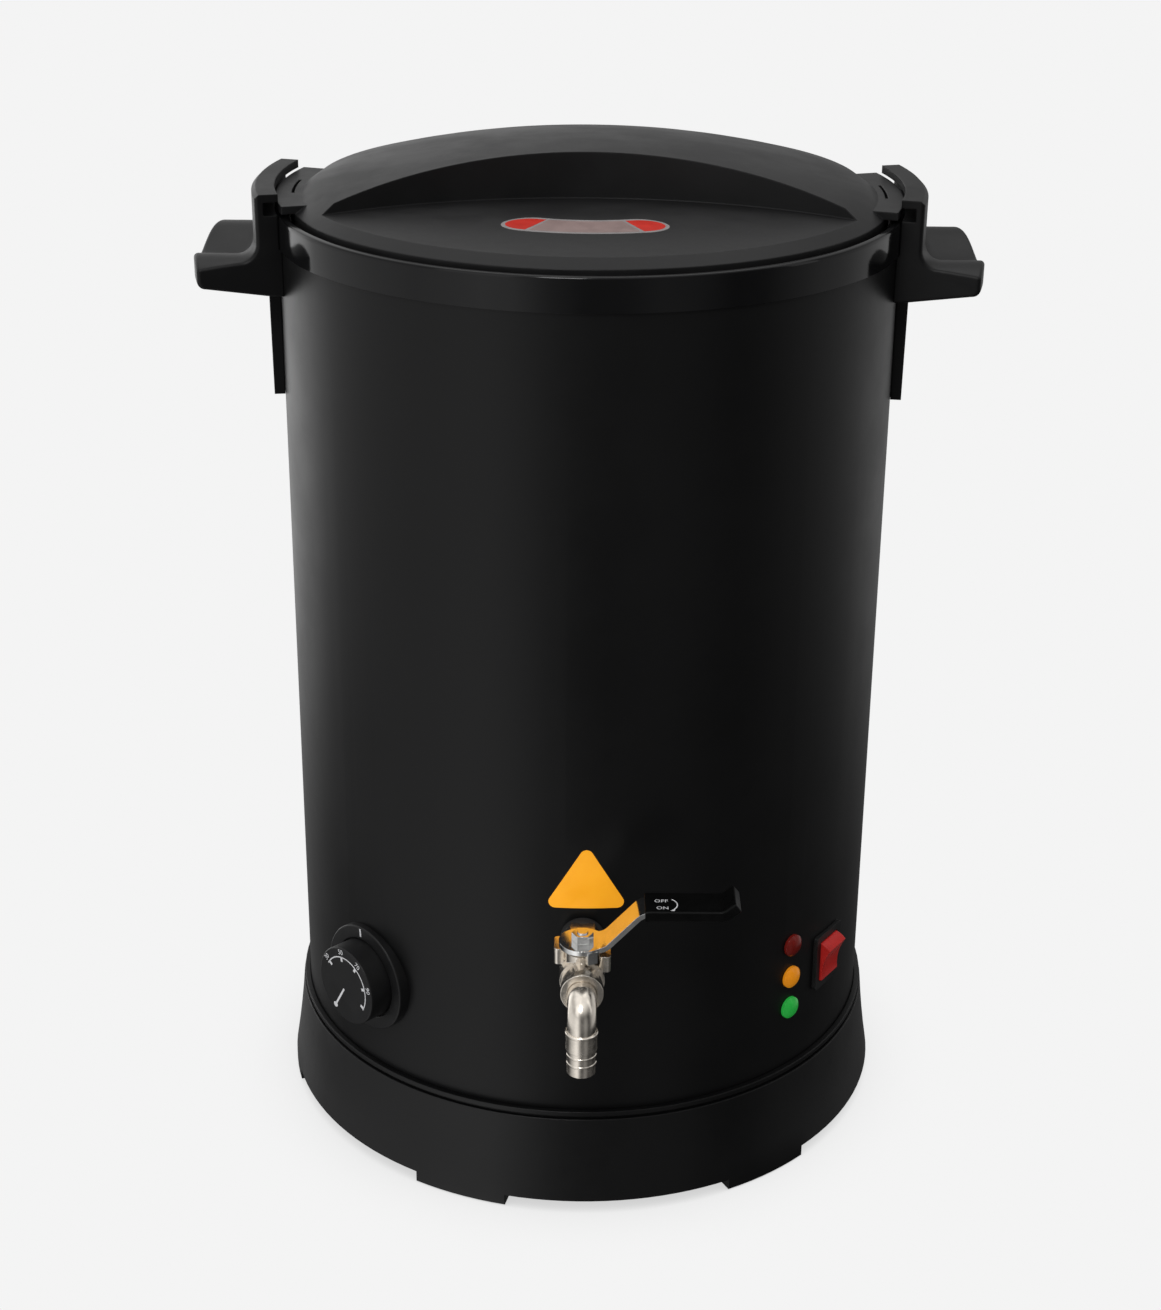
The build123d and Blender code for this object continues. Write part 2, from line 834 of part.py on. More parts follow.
def handle(side):
    """One handle, on the side of the pot at the given angle."""
    space = grip_space(side)
    with BuildPart() as piece:
        with BuildSketch(radial_plane(side - handle_half_angle)):
            with BuildLine():
                Polyline(
                    (grip_end - grip_corner, grip_low),
                    (root_outer, handle_root_bottom),
                    (handle_inner, handle_root_bottom),
                    (handle_inner, ring_bottom - cutout_gap),
                    (ring_clear, ring_bottom - cutout_gap),
                    (ring_clear, ring_top + cutout_gap),
                    (post_inner, ring_top + cutout_gap),
                    (post_inner, lip_bottom),
                    (lip_inner, lip_bottom),
                    (lip_inner, lip_top),
                    (post_outer - post_thickness / 2, lip_top),
                    (post_outer, lip_top - post_thickness / 2),
                    (post_outer, wing_top),
                    (grip_end, wing_top),
                    (grip_end, grip_low + grip_corner),
                )
                TangentArc(
                    (grip_end, grip_low + grip_corner),
                    (grip_end - grip_corner, grip_low),
                    tangent=(0, -1),
                )
            make_face()
        revolve(axis=Axis.Z, revolution_arc=2 * handle_half_angle)
        add(space, mode=Mode.SUBTRACT)
        fillet(piece.edges().filter_by(at_grip_root), grip_root_round)
        wing_edges = piece.faces().filter_by(is_end_face).edges().filter_by(on_wing)
        fillet([*wing_edges, *piece.edges().filter_by(at_grip_brow)], wing_round)
        with BuildSketch(radial_plane(side - strap_half_angle)):
            with BuildLine():
                Polyline(
                    (handle_inner, handle_root_bottom + strap_top_thickness),
                    (handle_inner, strap_bottom),
                    (body_radius + strap_end_thickness, strap_bottom),
                    (root_outer, handle_root_bottom),
                    (root_outer, handle_root_bottom + strap_top_thickness),
                    close=True,
                )
            make_face()
        revolve(axis=Axis.Z, revolution_arc=2 * strap_half_angle)
        for height in handle_screw_heights:
            with BuildSketch(wall_plane(side, body_radius, height)):
                Circle(handle_screw_radius + thread_gap)
            extrude(amount=handle_screw_reach, mode=Mode.SUBTRACT)
    return piece


handle_left = handle(-90)
with BuildPart() as handle_right:
    mirror(handle_left.part, about=Plane.YZ)
save(handle_left, "handle_left")
save(handle_right, "handle_right")

with BuildPart() as handle_screws:
    for plane in handle_screw_planes:
        inward = Plane(origin=plane.origin, x_dir=plane.x_dir, z_dir=-plane.z_dir)
        screw(inward, handle_screw_radius, handle_screw_reach)
save(handle_screws, "handle_screws")


# Tap connection: nipple through both walls, its locknut, seals and the spacer between the walls
nipple_start = vessel_radius - nipple_inner_end
nipple_end = valve_rear + valve_rear_length - cutout_gap
nipple_hole = nipple_radius + thread_gap
seal_face = vessel_radius - tap_seal_thickness

with BuildPart() as tap_nipple:
    with BuildSketch(wall_plane(0, nipple_start, tap_height)):
        Circle(nipple_radius)
        Circle(nipple_bore, mode=Mode.SUBTRACT)
    extrude(amount=nipple_end - nipple_start)
save(tap_nipple, "tap_nipple")

with BuildPart() as tap_locknut:
    with BuildSketch(wall_plane(0, seal_face, tap_height)):
        RegularPolygon(locknut_flats / 2, 6, major_radius=False)
        Circle(nipple_hole, mode=Mode.SUBTRACT)
    extrude(amount=-locknut_thickness)
save(tap_locknut, "tap_locknut")

with BuildPart() as tap_seal_inner:
    with BuildSketch(wall_plane(0, seal_face, tap_height)):
        Circle(tap_seal_radius)
        Circle(nipple_hole, mode=Mode.SUBTRACT)
    extrude(amount=tap_seal_thickness)
    Cylinder(vessel_radius - seat_gap, 2 * lid_peak, mode=Mode.INTERSECT)
save(tap_seal_inner, "tap_seal_inner")

with BuildPart() as tap_spacer:
    with BuildSketch(wall_plane(0, vessel_outer - tap_seal_thickness, tap_height)):
        Circle(nipple_hole + tap_spacer_wall)
        Circle(nipple_hole, mode=Mode.SUBTRACT)
    extrude(amount=body_radius - vessel_outer + tap_seal_thickness)
    Cylinder(shell_inner - seat_gap, 2 * lid_peak, mode=Mode.INTERSECT)
    keep_outside(vessel_outer + seat_gap)
save(tap_spacer, "tap_spacer")

with BuildPart() as tap_seal_outer:
    with BuildSketch(wall_plane(0, valve_rear, tap_height)):
        Circle(tap_seal_radius)
        Circle(nipple_hole, mode=Mode.SUBTRACT)
    extrude(amount=-2 * tap_seal_thickness)
    keep_outside(body_radius + seat_gap)
save(tap_seal_outer, "tap_seal_outer")

# Ball valve: body with stop ears, end cap, seats, ball, stem and packing nut
valve_middle = valve_rear + valve_rear_length
valve_shoulder = stem_distance + ball_radius
cavity_radius = ball_radius + ball_room
cavity_rear = stem_distance - ball_radius - seat_ring_web
cap_inner = stem_distance + ball_radius + seat_ring_web
stem_hole = stem_radius + bearing_gap
stem_point = (0, -stem_distance)
packing_bottom = neck_top - packing_thread_length
ear_places = [(valve_radius, -stem_distance), (-valve_radius, left_ear_setback - stem_distance)]

with BuildPart() as valve_body:
    with BuildSketch(wall_plane(0, valve_rear, tap_height)):
        RegularPolygon(valve_rear_flats / 2, 6, major_radius=False)
    extrude(amount=valve_rear_length)
    with BuildSketch(wall_plane(0, valve_middle, tap_height)):
        Circle(valve_radius)
    extrude(amount=valve_shoulder - valve_middle)
    with BuildSketch(wall_plane(0, valve_shoulder, tap_height)):
        Circle(valve_front_radius)
    extrude(amount=valve_front - valve_shoulder)
    with BuildSketch(Plane.XY.offset(tap_height)):
        with Locations(stem_point):
            Circle(valve_neck_radius)
    extrude(amount=valve_neck_height)
    with BuildSketch(Plane.XY.offset(tap_height + ear_top - ear_height)):
        with Locations(*ear_places):
            RectangleRounded(ear_width, ear_length, ear_width / 3)
    extrude(amount=ear_height)
    with BuildSketch(wall_plane(0, valve_rear, tap_height)):
        Circle(nipple_hole)
    extrude(amount=valve_rear_length, mode=Mode.SUBTRACT)
    with BuildSketch(wall_plane(0, valve_middle, tap_height)):
        Circle(valve_port)
    extrude(amount=cavity_rear - valve_middle, mode=Mode.SUBTRACT)
    with BuildSketch(wall_plane(0, cavity_rear, tap_height)):
        Circle(cavity_radius)
    extrude(amount=valve_front - cavity_rear, mode=Mode.SUBTRACT)
    with BuildSketch(Plane.XY.offset(tap_height)):
        with Locations(stem_point):
            Circle(stem_hole)
    extrude(amount=valve_neck_height, mode=Mode.SUBTRACT)
    with BuildSketch(Plane.XY.offset(packing_bottom)):
        with Locations(stem_point):
            Circle(packing_thread_radius + thread_gap)
    extrude(amount=packing_thread_length, mode=Mode.SUBTRACT)
save(valve_body, "valve_body")

with BuildPart() as valve_end_cap:
    with BuildSketch(wall_plane(0, cap_inner, tap_height)):
        Circle(cavity_radius - thread_gap)
    extrude(amount=valve_front - cap_inner)
    with BuildSketch(wall_plane(0, valve_front, tap_height)):
        Circle(cap_collar_radius)
    extrude(amount=cap_collar_length)
    with BuildSketch(wall_plane(0, cap_inner, tap_height)):
        Circle(valve_port)
    extrude(amount=valve_front - cap_inner, mode=Mode.SUBTRACT)
    with BuildSketch(wall_plane(0, valve_front, tap_height)):
        Circle(spout_radius + thread_gap)
    extrude(amount=cap_collar_length, mode=Mode.SUBTRACT)
save(valve_end_cap, "valve_end_cap")

with BuildPart() as valve_seats:
    for face, direction in ((cavity_rear, 1), (cap_inner, -1)):
        with BuildSketch(wall_plane(0, face, tap_height)):
            Circle(cavity_radius - seat_gap)
            Circle(valve_port, mode=Mode.SUBTRACT)
        extrude(amount=direction * seat_ring_thickness)
    with Locations((*stem_point, tap_height)):
        Sphere(ball_radius + ball_seat_gap, mode=Mode.SUBTRACT)
save(valve_seats, "valve_seats")

slot_floor = tap_height + ball_radius - ball_slot_depth

with BuildPart() as valve_ball:
    with Locations((*stem_point, tap_height)):
        Sphere(ball_radius)
        Cylinder(ball_bore, 3 * ball_radius, rotation=(0, 90, 0), mode=Mode.SUBTRACT)
    with BuildSketch(Plane.XY.offset(slot_floor)):
        with Locations(stem_point):
            Rectangle(2 * ball_radius, ball_slot_width)
    extrude(amount=2 * ball_slot_depth, mode=Mode.SUBTRACT)
save(valve_ball, "valve_ball")

ball_top = tap_height + ball_radius + seat_gap
stem_flats = 2 * (stem_radius - stem_flat)
stem_top = lever_top + lever_nut_height + stem_proud

with BuildPart() as valve_stem:
    with BuildSketch(Plane.XY.offset(ball_top)):
        with Locations(stem_point):
            Circle(stem_radius)
    extrude(amount=lever_bottom - ball_top)
    with BuildSketch(Plane.XY.offset(slot_floor + seat_gap)):
        with Locations(stem_point):
            Circle(stem_radius)
            Rectangle(2 * stem_radius, ball_slot_width - 2 * seat_gap, mode=Mode.INTERSECT)
    extrude(amount=ball_top - slot_floor - seat_gap)
    with BuildSketch(Plane.XY.offset(lever_bottom)):
        with Locations(stem_point):
            Circle(stem_radius)
            Rectangle(2 * stem_radius, stem_flats, mode=Mode.INTERSECT)
    extrude(amount=lever_thickness)
    with BuildSketch(Plane.XY.offset(lever_top)):
        with Locations(stem_point):
            Circle(stem_flats / 2)
    extrude(amount=stem_top - lever_top)
save(valve_stem, "valve_stem")

with BuildPart() as packing_nut:
    with BuildSketch(Plane.XY.offset(neck_top)):
        with Locations(stem_point):
            RegularPolygon(packing_nut_flats / 2, 6, major_radius=False)
    extrude(amount=packing_nut_height)
    with BuildSketch(Plane.XY.offset(packing_bottom)):
        with Locations(stem_point):
            Circle(packing_thread_radius)
    extrude(amount=packing_thread_length)
    with BuildSketch(Plane.XY.offset(packing_bottom)):
        with Locations(stem_point):
            Circle(stem_hole)
    extrude(amount=packing_thread_length + packing_nut_height, mode=Mode.SUBTRACT)
save(packing_nut, "packing_nut")


# Lever: bent plate on the stem, with a dipped sleeve on its grip, held by a nut
lever_middle = (lever_bottom + lever_top) / 2
lever_line = [
    (-lever_hub_radius, lever_middle),
    (lever_ramp_start, lever_middle),
    (lever_ramp_end, lever_grip_height),
    (lever_length - lever_curl_length, lever_grip_height),
]
curl = Vector(lever_curl_length, lever_curl_rise)
lever_tip = Vector(*lever_line[-1]) + curl
lever_side = Plane.XZ.offset(stem_distance)
stop_bottom = tap_height + cap_collar_radius + moving_gap
stop_turn = radians(stop_tab_angle - 90)
stop_plane = Plane(
    origin=(*stem_point, stop_bottom), x_dir=(cos(stop_turn), sin(stop_turn), 0), z_dir=(0, 0, 1)
)


def lever_section(tip_reach, thickness):
    """Side view of the bent lever at a thickness, drawn on past its tip by a reach."""
    tip = lever_tip + curl.normalized() * tip_reach
    with BuildSketch(lever_side) as section:
        with BuildLine():
            FilletPolyline(*lever_line, (tip.X, tip.Y), radius=lever_bend)
        trace(line_width=thickness)
    return section.sketch


with BuildPart() as lever:
    extrude(lever_section(0, lever_thickness), amount=lever_hub_radius, both=True)
    with BuildSketch(Plane.XY):
        with Locations(stem_point):
            Circle(lever_hub_radius)
        with Locations((lever_length, -stem_distance)):
            Rectangle(2 * lever_length, lever_width)
    extrude(amount=lid_peak, mode=Mode.INTERSECT)
    with BuildSketch(stop_plane):
        with Locations((lever_hub_radius - lever_thickness / 2, 0)):
            Rectangle(lever_thickness, stop_tab_width)
    extrude(amount=lever_middle - stop_bottom)
    with BuildSketch(Plane.XY.offset(lever_bottom)):
        with Locations(stem_point):
            Circle(stem_radius + seat_gap)
            Rectangle(3 * stem_radius, stem_flats + 2 * seat_gap, mode=Mode.INTERSECT)
    extrude(amount=lever_thickness, mode=Mode.SUBTRACT)
save(lever, "lever")

with BuildPart() as lever_sleeve:
    sleeve_thickness = lever_thickness + 2 * sleeve_wall
    sleeve_half = lever_width / 2 + sleeve_wall
    extrude(lever_section(sleeve_wall, sleeve_thickness), amount=sleeve_half, both=True)
    split(bisect_by=Plane.YZ.offset(sleeve_start), keep=Keep.TOP)
    fillet(lever_sleeve.faces().sort_by(Axis.X)[-1].edges().filter_by(Axis.Y), sleeve_round)
    mouth = lever_sleeve.faces().sort_by(Axis.X)[0].edges()
    side_edges = lever_sleeve.faces().filter_by(Axis.Y).edges()
    fillet([edge for edge in side_edges if edge not in mouth], sleeve_round)
    pocket = lever_section(seat_gap, lever_thickness + 2 * seat_gap)
    extrude(pocket, amount=lever_width / 2 + seat_gap, both=True, mode=Mode.SUBTRACT)
save(lever_sleeve, "lever_sleeve")

with BuildPart() as lever_nut:
    with BuildSketch(Plane.XY.offset(lever_top)):
        with Locations(stem_point):
            RegularPolygon(lever_nut_flats / 2, 6, major_radius=False)
            Circle(stem_flats / 2 + thread_gap, mode=Mode.SUBTRACT)
    extrude(amount=lever_nut_height)
save(lever_nut, "lever_nut")

# Spout: bent tube screwed into the end cap, with a hose barb at its lower end
spout_distance = body_radius + spout_offset
spout_start = valve_front + cutout_gap
spout_end = tap_height - spout_drop
barb_top_ridge = tap_height - barb_top_drop
barb_land_end = tap_height - barb_land_drop
spout_axis = Axis((0, -spout_distance, 0), (0, 0, 1))
barb_inner = (spout_radius + spout_bore) / 2


def barb_ring(height, reach, thickness, taper):
    """Section of a ring on the spout, with its edges drawn in by the taper."""
    return [
        (barb_inner, height - thickness / 2),
        (reach - taper, height - thickness / 2),
        (reach, height - thickness / 2 + taper),
        (reach, height + thickness / 2 - taper),
        (reach - taper, height + thickness / 2),
        (barb_inner, height + thickness / 2),
    ]


barb_land = barb_top_ridge - barb_land_end
barb_taper = barb_ridge_height / 4
barb_rings = [
    barb_ring(barb_top_ridge, barb_ridge_radius, barb_ridge_height, barb_taper),
    barb_ring(barb_land_end + barb_land / 2, barb_land_radius, barb_land, barb_taper),
]
barb_rings += [
    barb_ring(tap_height - drop, barb_low_radius, barb_ridge_height, barb_taper)
    for drop in barb_low_drops
]

with BuildPart() as hose_elbow:
    with BuildLine(Plane.YZ) as spout_path:
        FilletPolyline(
            (-spout_start, tap_height),
            (-spout_distance, tap_height),
            (-spout_distance, spout_end),
            radius=spout_bend,
        )
    with BuildSketch(wall_plane(0, spout_start, tap_height)):
        Circle(spout_radius)
        Circle(spout_bore, mode=Mode.SUBTRACT)
    sweep(path=spout_path.wires()[0])
    with BuildSketch(Plane.XZ.offset(spout_distance)):
        for ring in barb_rings:
            Polygon(*ring, align=None)
    revolve(axis=spout_axis)
save(hose_elbow, "hose_elbow")


# Thermostat behind the shell, its bezel, shaft, knob and sensing bulb
thermostat_seat = inner_seat(thermostat_width)
thermostat_plane = wall_plane(knob_angle, thermostat_seat, knob_height)
knob_seat = wall_plane(knob_angle, body_radius + bezel_web + moving_gap, knob_height)
knob_height_out = knob_face - bezel_web - moving_gap
shaft_end = knob_face - knob_wall
shaft_length = body_radius - thermostat_seat + shaft_depth + shaft_end
nose_length = body_radius + bezel_web - thermostat_seat

with BuildPart() as thermostat_body:
    with BuildSketch(thermostat_plane):
        RectangleRounded(thermostat_width, thermostat_height, knob_wall)
    extrude(amount=-thermostat_depth)
    with BuildSketch(thermostat_plane):
        Circle(thermostat_nose_radius)
    extrude(amount=nose_length)
    with BuildSketch(thermostat_plane.offset(nose_length)):
        Circle(shaft_radius + bearing_gap)
    extrude(amount=-nose_length - shaft_depth - cutout_gap, mode=Mode.SUBTRACT)
    with BuildSketch(thermostat_plane):
        with GridLocations(2 * thermostat_screw_offset, 0, 2, 1):
            Circle(thermostat_screw_radius + thread_gap)
    extrude(amount=-thermostat_screw_length, mode=Mode.SUBTRACT)
save(thermostat_body, "thermostat_body")

with BuildPart() as thermostat_shaft:
    with BuildSketch(thermostat_plane.offset(-shaft_depth)):
        Circle(shaft_radius)
    extrude(amount=shaft_length)
    with BuildSketch(knob_seat):
        with Locations((0, 2 * shaft_radius - shaft_flat)):
            Rectangle(2 * shaft_radius, 2 * shaft_radius)
    extrude(amount=knob_height_out, mode=Mode.SUBTRACT)
save(thermostat_shaft, "thermostat_shaft")

with BuildPart() as knob_bezel:
    with BuildSketch(knob_plane):
        Circle(bezel_radius)
    extrude(amount=bezel_face)
    with BuildSketch(knob_plane):
        Circle(bezel_radius)
    extrude(amount=-bezel_face)
    keep_outside(body_radius + seat_gap)
    with BuildSketch(knob_plane.offset(bezel_web)):
        Circle(knob_radius + moving_gap)
    extrude(amount=bezel_face, mode=Mode.SUBTRACT)
    with BuildSketch(knob_plane.offset(bezel_web)):
        Circle(thermostat_nose_radius + cutout_gap)
        with GridLocations(2 * thermostat_screw_offset, 0, 2, 1):
            Circle(thermostat_screw_radius + cutout_gap)
    extrude(amount=-bezel_face - bezel_web, mode=Mode.SUBTRACT)
    fillet(knob_bezel.faces().filter_by(knob_plane).sort_by(SortBy.DISTANCE)[-1].edges(), knob_edge)
save(knob_bezel, "knob_bezel")

with BuildPart() as thermostat_screws:
    for shift in (-thermostat_screw_offset, thermostat_screw_offset):
        screw(
            moved(knob_plane, shift, bezel_web),
            thermostat_screw_radius,
            thermostat_screw_length,
        )
save(thermostat_screws, "thermostat_screws")

with BuildPart() as thermostat_knob:
    with BuildSketch(knob_seat):
        Circle(knob_radius)
    extrude(amount=knob_height_out)
    fillet(thermostat_knob.faces().filter_by(knob_plane).sort_by(SortBy.DISTANCE)[-1].edges(), knob_edge)
    with BuildSketch(knob_seat):
        Circle(knob_radius - knob_wall)
        Circle(knob_hub_radius, mode=Mode.SUBTRACT)
    extrude(amount=knob_height_out - knob_wall, mode=Mode.SUBTRACT)
    with BuildSketch(knob_seat):
        Circle(shaft_radius + seat_gap)
        with Locations((0, 2 * shaft_radius - shaft_flat + seat_gap)):
            Rectangle(3 * shaft_radius, 2 * shaft_radius, mode=Mode.SUBTRACT)
    extrude(amount=knob_height_out - knob_wall, mode=Mode.SUBTRACT)
save(thermostat_knob, "thermostat_knob")

bulb_height = vessel_underside - bulb_radius - seat_gap
bulb_angle = knob_angle - bulb_turn
bulb_place = wall_plane(bulb_angle, bulb_circle, bulb_height)
bulb_front = bulb_place.from_local_coords((bulb_length / 2, 0, 0))
capillary_drop = wall_plane(knob_angle, thermostat_seat - thermostat_depth / 2, bulb_height).origin
capillary_end = (capillary_drop.X, capillary_drop.Y, knob_height + thermostat_height / 2)
capillary_start = Plane(origin=bulb_front, z_dir=capillary_drop - bulb_front)

with BuildPart() as thermostat_bulb:
    with BuildSketch(Plane(origin=bulb_front, z_dir=bulb_place.x_dir)):
        Circle(bulb_radius)
    extrude(amount=-bulb_length)
    with BuildLine() as capillary_path:
        FilletPolyline(bulb_front, capillary_drop, capillary_end, radius=2 * bulb_radius)
    with BuildSketch(capillary_start):
        Circle(capillary_radius)
    sweep(path=capillary_path.wires()[0])
save(thermostat_bulb, "thermostat_bulb")

# Indicator lamps: a coloured lens, a lamp body through the shell and a nut behind it
lens_radius_of_crown = ((lens_crown - lens_edge) ** 2 + lens_radius**2) / (2 * (lens_crown - lens_edge))
lens_middle = (
    lens_radius / 2,
    lens_crown - lens_radius_of_crown + sqrt(lens_radius_of_crown**2 - (lens_radius / 2) ** 2),
)
lamp_nut_face = inner_seat(2 * lamp_nut_radius)


def lens(height):
    """Lens of the lamp at this height: low crown, edge and a stem into the lamp body."""
    plane = wall_plane(lamp_angle, body_radius, height)
    section = Plane(origin=plane.origin, x_dir=plane.x_dir, z_dir=(0, 0, -1))
    with BuildPart() as piece:
        with BuildSketch(section):
            with BuildLine():
                Polyline(
                    (0, lens_crown),
                    (0, -lens_stem_length),
                    (lens_stem_radius, -lens_stem_length),
                    (lens_stem_radius, seat_gap),
                    (lens_radius, seat_gap),
                    (lens_radius, lens_edge),
                )
                ThreePointArc((lens_radius, lens_edge), lens_middle, (0, lens_crown))
            make_face()
        revolve(axis=Axis(plane.origin, plane.z_dir))
    return piece


for lamp_name, lamp_height in zip(lamp_names, lamp_heights):
    save(lens(lamp_height), f"lens_{lamp_name}")

with BuildPart() as lamp_bodies:
    with BuildSketch(*lamp_planes):
        Circle(lamp_body_radius)
    extrude(amount=-lamp_body_length)
    with BuildSketch(*lamp_planes):
        Circle(lens_stem_radius + seat_gap)
    extrude(amount=-lens_stem_length - seat_gap, mode=Mode.SUBTRACT)
save(lamp_bodies, "lamp_bodies")

with BuildPart() as lamp_nuts:
    with BuildSketch(*[wall_plane(lamp_angle, lamp_nut_face, height) for height in lamp_heights]):
        RegularPolygon(lamp_nut_radius, 6)
        Circle(lamp_body_radius + thread_gap, mode=Mode.SUBTRACT)
    extrude(amount=-lamp_nut_thickness)
save(lamp_nuts, "lamp_nuts")

# Rocker switch: housing through the shell and a rocker that tips on two pins
rocker_half = sqrt(rocker_end_radius**2 - rocker_top**2)
rocker_end_turn = asin(rocker_top / rocker_end_radius) / 2
rocker_end_middle = (
    rocker_end_radius * cos(rocker_end_turn),
    rocker_end_radius * sin(rocker_end_turn),
)
rocker_foot = rocker_end_radius / 3
pocket_floor = rocker_pivot - sqrt(rocker_depth**2 + rocker_foot**2) - moving_gap
pivot_point = switch_plane.from_local_coords((0, 0, rocker_pivot))
pivot_side = Plane(origin=pivot_point, x_dir=(0, 0, 1), z_dir=switch_plane.x_dir)
tilt = radians(rocker_tilt)
tilted_up = Vector(0, 0, 1) * cos(tilt) + switch_plane.z_dir * sin(tilt)
rocker_rest = Plane(origin=pivot_point, x_dir=tilted_up, z_dir=switch_plane.x_dir)
pocket_width = rocker_width + 2 * moving_gap

with BuildPart() as switch_housing:
    with BuildSketch(switch_plane.offset(switch_bezel_face)):
        RectangleRounded(
            switch_body_width + 2 * switch_bezel_edge,
            switch_body_height + 2 * switch_bezel_edge,
            switch_bezel_edge,
        )
    extrude(amount=-2 * switch_bezel_face)
    keep_outside(body_radius + seat_gap)
    with BuildSketch(switch_plane.offset(switch_bezel_face)):
        Rectangle(switch_body_width, switch_body_height)
    extrude(amount=-switch_bezel_face - switch_depth)
    with BuildSketch(switch_plane.offset(switch_bezel_face)):
        Rectangle(pocket_width, rocker_pocket_height)
    extrude(amount=pocket_floor - switch_bezel_face, mode=Mode.SUBTRACT)
    with BuildSketch(pivot_side):
        Circle(rocker_pin_radius + bearing_gap)
    extrude(
        amount=rocker_width / 2 + rocker_pin_length + cutout_gap, both=True, mode=Mode.SUBTRACT
    )
save(switch_housing, "switch_housing")

with BuildPart() as switch_rocker:
    with BuildSketch(rocker_rest):
        with BuildLine():
            ThreePointArc(
                (-rocker_half, rocker_top), (0, rocker_top - rocker_dish), (rocker_half, rocker_top)
            )
            ThreePointArc((rocker_half, rocker_top), rocker_end_middle, (rocker_end_radius, 0))
            Polyline(
                (rocker_end_radius, 0),
                (rocker_foot, -rocker_depth),
                (-rocker_foot, -rocker_depth),
                (-rocker_end_radius, 0),
            )
            ThreePointArc(
                (-rocker_end_radius, 0),
                (-rocker_end_middle[0], rocker_end_middle[1]),
                (-rocker_half, rocker_top),
            )
        make_face()
    extrude(amount=rocker_width / 2, both=True)
    with BuildSketch(pivot_side):
        Circle(rocker_pin_radius)
    extrude(amount=rocker_width / 2 + rocker_pin_length, both=True)
save(switch_rocker, "switch_rocker")

# Mains inlet: flanged socket through the back of the shell, with three pins and two screws
mouth_floor = inlet_flange_face - inlet_mouth_depth
inlet_rear = mouth_floor - inlet_back
pin_places = [
    (-inlet_pin_spread, -inlet_pin_shift),
    (inlet_pin_spread, -inlet_pin_shift),
    (0, inlet_pin_shift),
]

with BuildPart() as power_inlet:
    with BuildSketch(inlet_plane.offset(inlet_flange_face)):
        RectangleRounded(inlet_flange_width, inlet_flange_height, inlet_flange_face)
    extrude(amount=-2 * inlet_flange_face)
    keep_outside(body_radius + seat_gap)
    with BuildSketch(inlet_plane.offset(inlet_flange_face)):
        Rectangle(inlet_body_width, inlet_body_height)
    extrude(amount=inlet_rear - inlet_flange_face)
    with BuildSketch(inlet_plane.offset(inlet_flange_face)) as mouth:
        Rectangle(inlet_mouth_width, inlet_mouth_height)
        chamfer(mouth.vertices().group_by(Axis.Y)[-1], inlet_pin_height)
    extrude(amount=-inlet_mouth_depth, mode=Mode.SUBTRACT)
    with BuildSketch(inlet_plane.offset(mouth_floor)):
        with Locations(*pin_places):
            Rectangle(inlet_pin_width + 2 * seat_gap, inlet_pin_height + 2 * seat_gap)
    extrude(amount=-inlet_back, mode=Mode.SUBTRACT)
    with BuildSketch(inlet_plane.offset(inlet_flange_face)):
        with GridLocations(2 * inlet_screw_offset, 0, 2, 1):
            Circle(inlet_screw_radius + cutout_gap)
    extrude(amount=-3 * inlet_flange_face, mode=Mode.SUBTRACT)
save(power_inlet, "power_inlet")

with BuildPart() as inlet_pins:
    with BuildSketch(inlet_plane.offset(mouth_floor + inlet_pin_length)):
        with Locations(*pin_places):
            Rectangle(inlet_pin_width, inlet_pin_height)
    extrude(amount=-inlet_pin_length - inlet_back - inlet_tab_length)
save(inlet_pins, "inlet_pins")

with BuildPart() as inlet_screws:
    for shift in (-inlet_screw_offset, inlet_screw_offset):
        screw(
            moved(inlet_plane, shift, inlet_flange_face),
            inlet_screw_radius,
            inlet_screw_length,
        )
save(inlet_screws, "inlet_screws")

# Heater under the vessel floor, its thermal cut-out, and the rod that ties base and vessel
with BuildPart() as heater_plate:
    with BuildSketch(Plane.XY.offset(heater_bottom)):
        Circle(heater_plate_radius)
    extrude(amount=heater_plate_thickness)
    with BuildSketch(Plane.XZ):
        with Locations((element_circle, element_height)):
            Circle(element_radius + seat_gap)
    revolve(axis=Axis.Z, mode=Mode.SUBTRACT)
    with BuildSketch(Plane.XY.offset(heater_bottom)):
        Circle(tie_rod_radius + thread_gap)
    extrude(amount=tie_rod_grip, mode=Mode.SUBTRACT)
    with BuildSketch(Plane.XY.offset(heater_bottom)):
        with Locations((-cutout_screw_spread, cutout_place), (cutout_screw_spread, cutout_place)):
            Circle(cutout_screw_radius + thread_gap)
    extrude(amount=cutout_screw_length - cutout_ear_thickness, mode=Mode.SUBTRACT)
save(heater_plate, "heater_plate")

element_gap = (360 - element_arc) / 2
element_ends = ((element_gap_angle + element_gap, 1), (element_gap_angle - element_gap, -1))

with BuildPart() as heater_element:
    with BuildSketch(radial_plane(element_gap_angle + element_gap)):
        with Locations((element_circle, element_height)):
            Circle(element_radius)
    revolve(axis=Axis.Z, revolution_arc=element_arc)
    for end_angle, direction in element_ends:
        with BuildSketch(radial_plane(end_angle)):
            with Locations((element_circle, element_height)):
                Circle(element_pin_radius)
        extrude(amount=direction * element_pin_length)
save(heater_element, "heater_element")

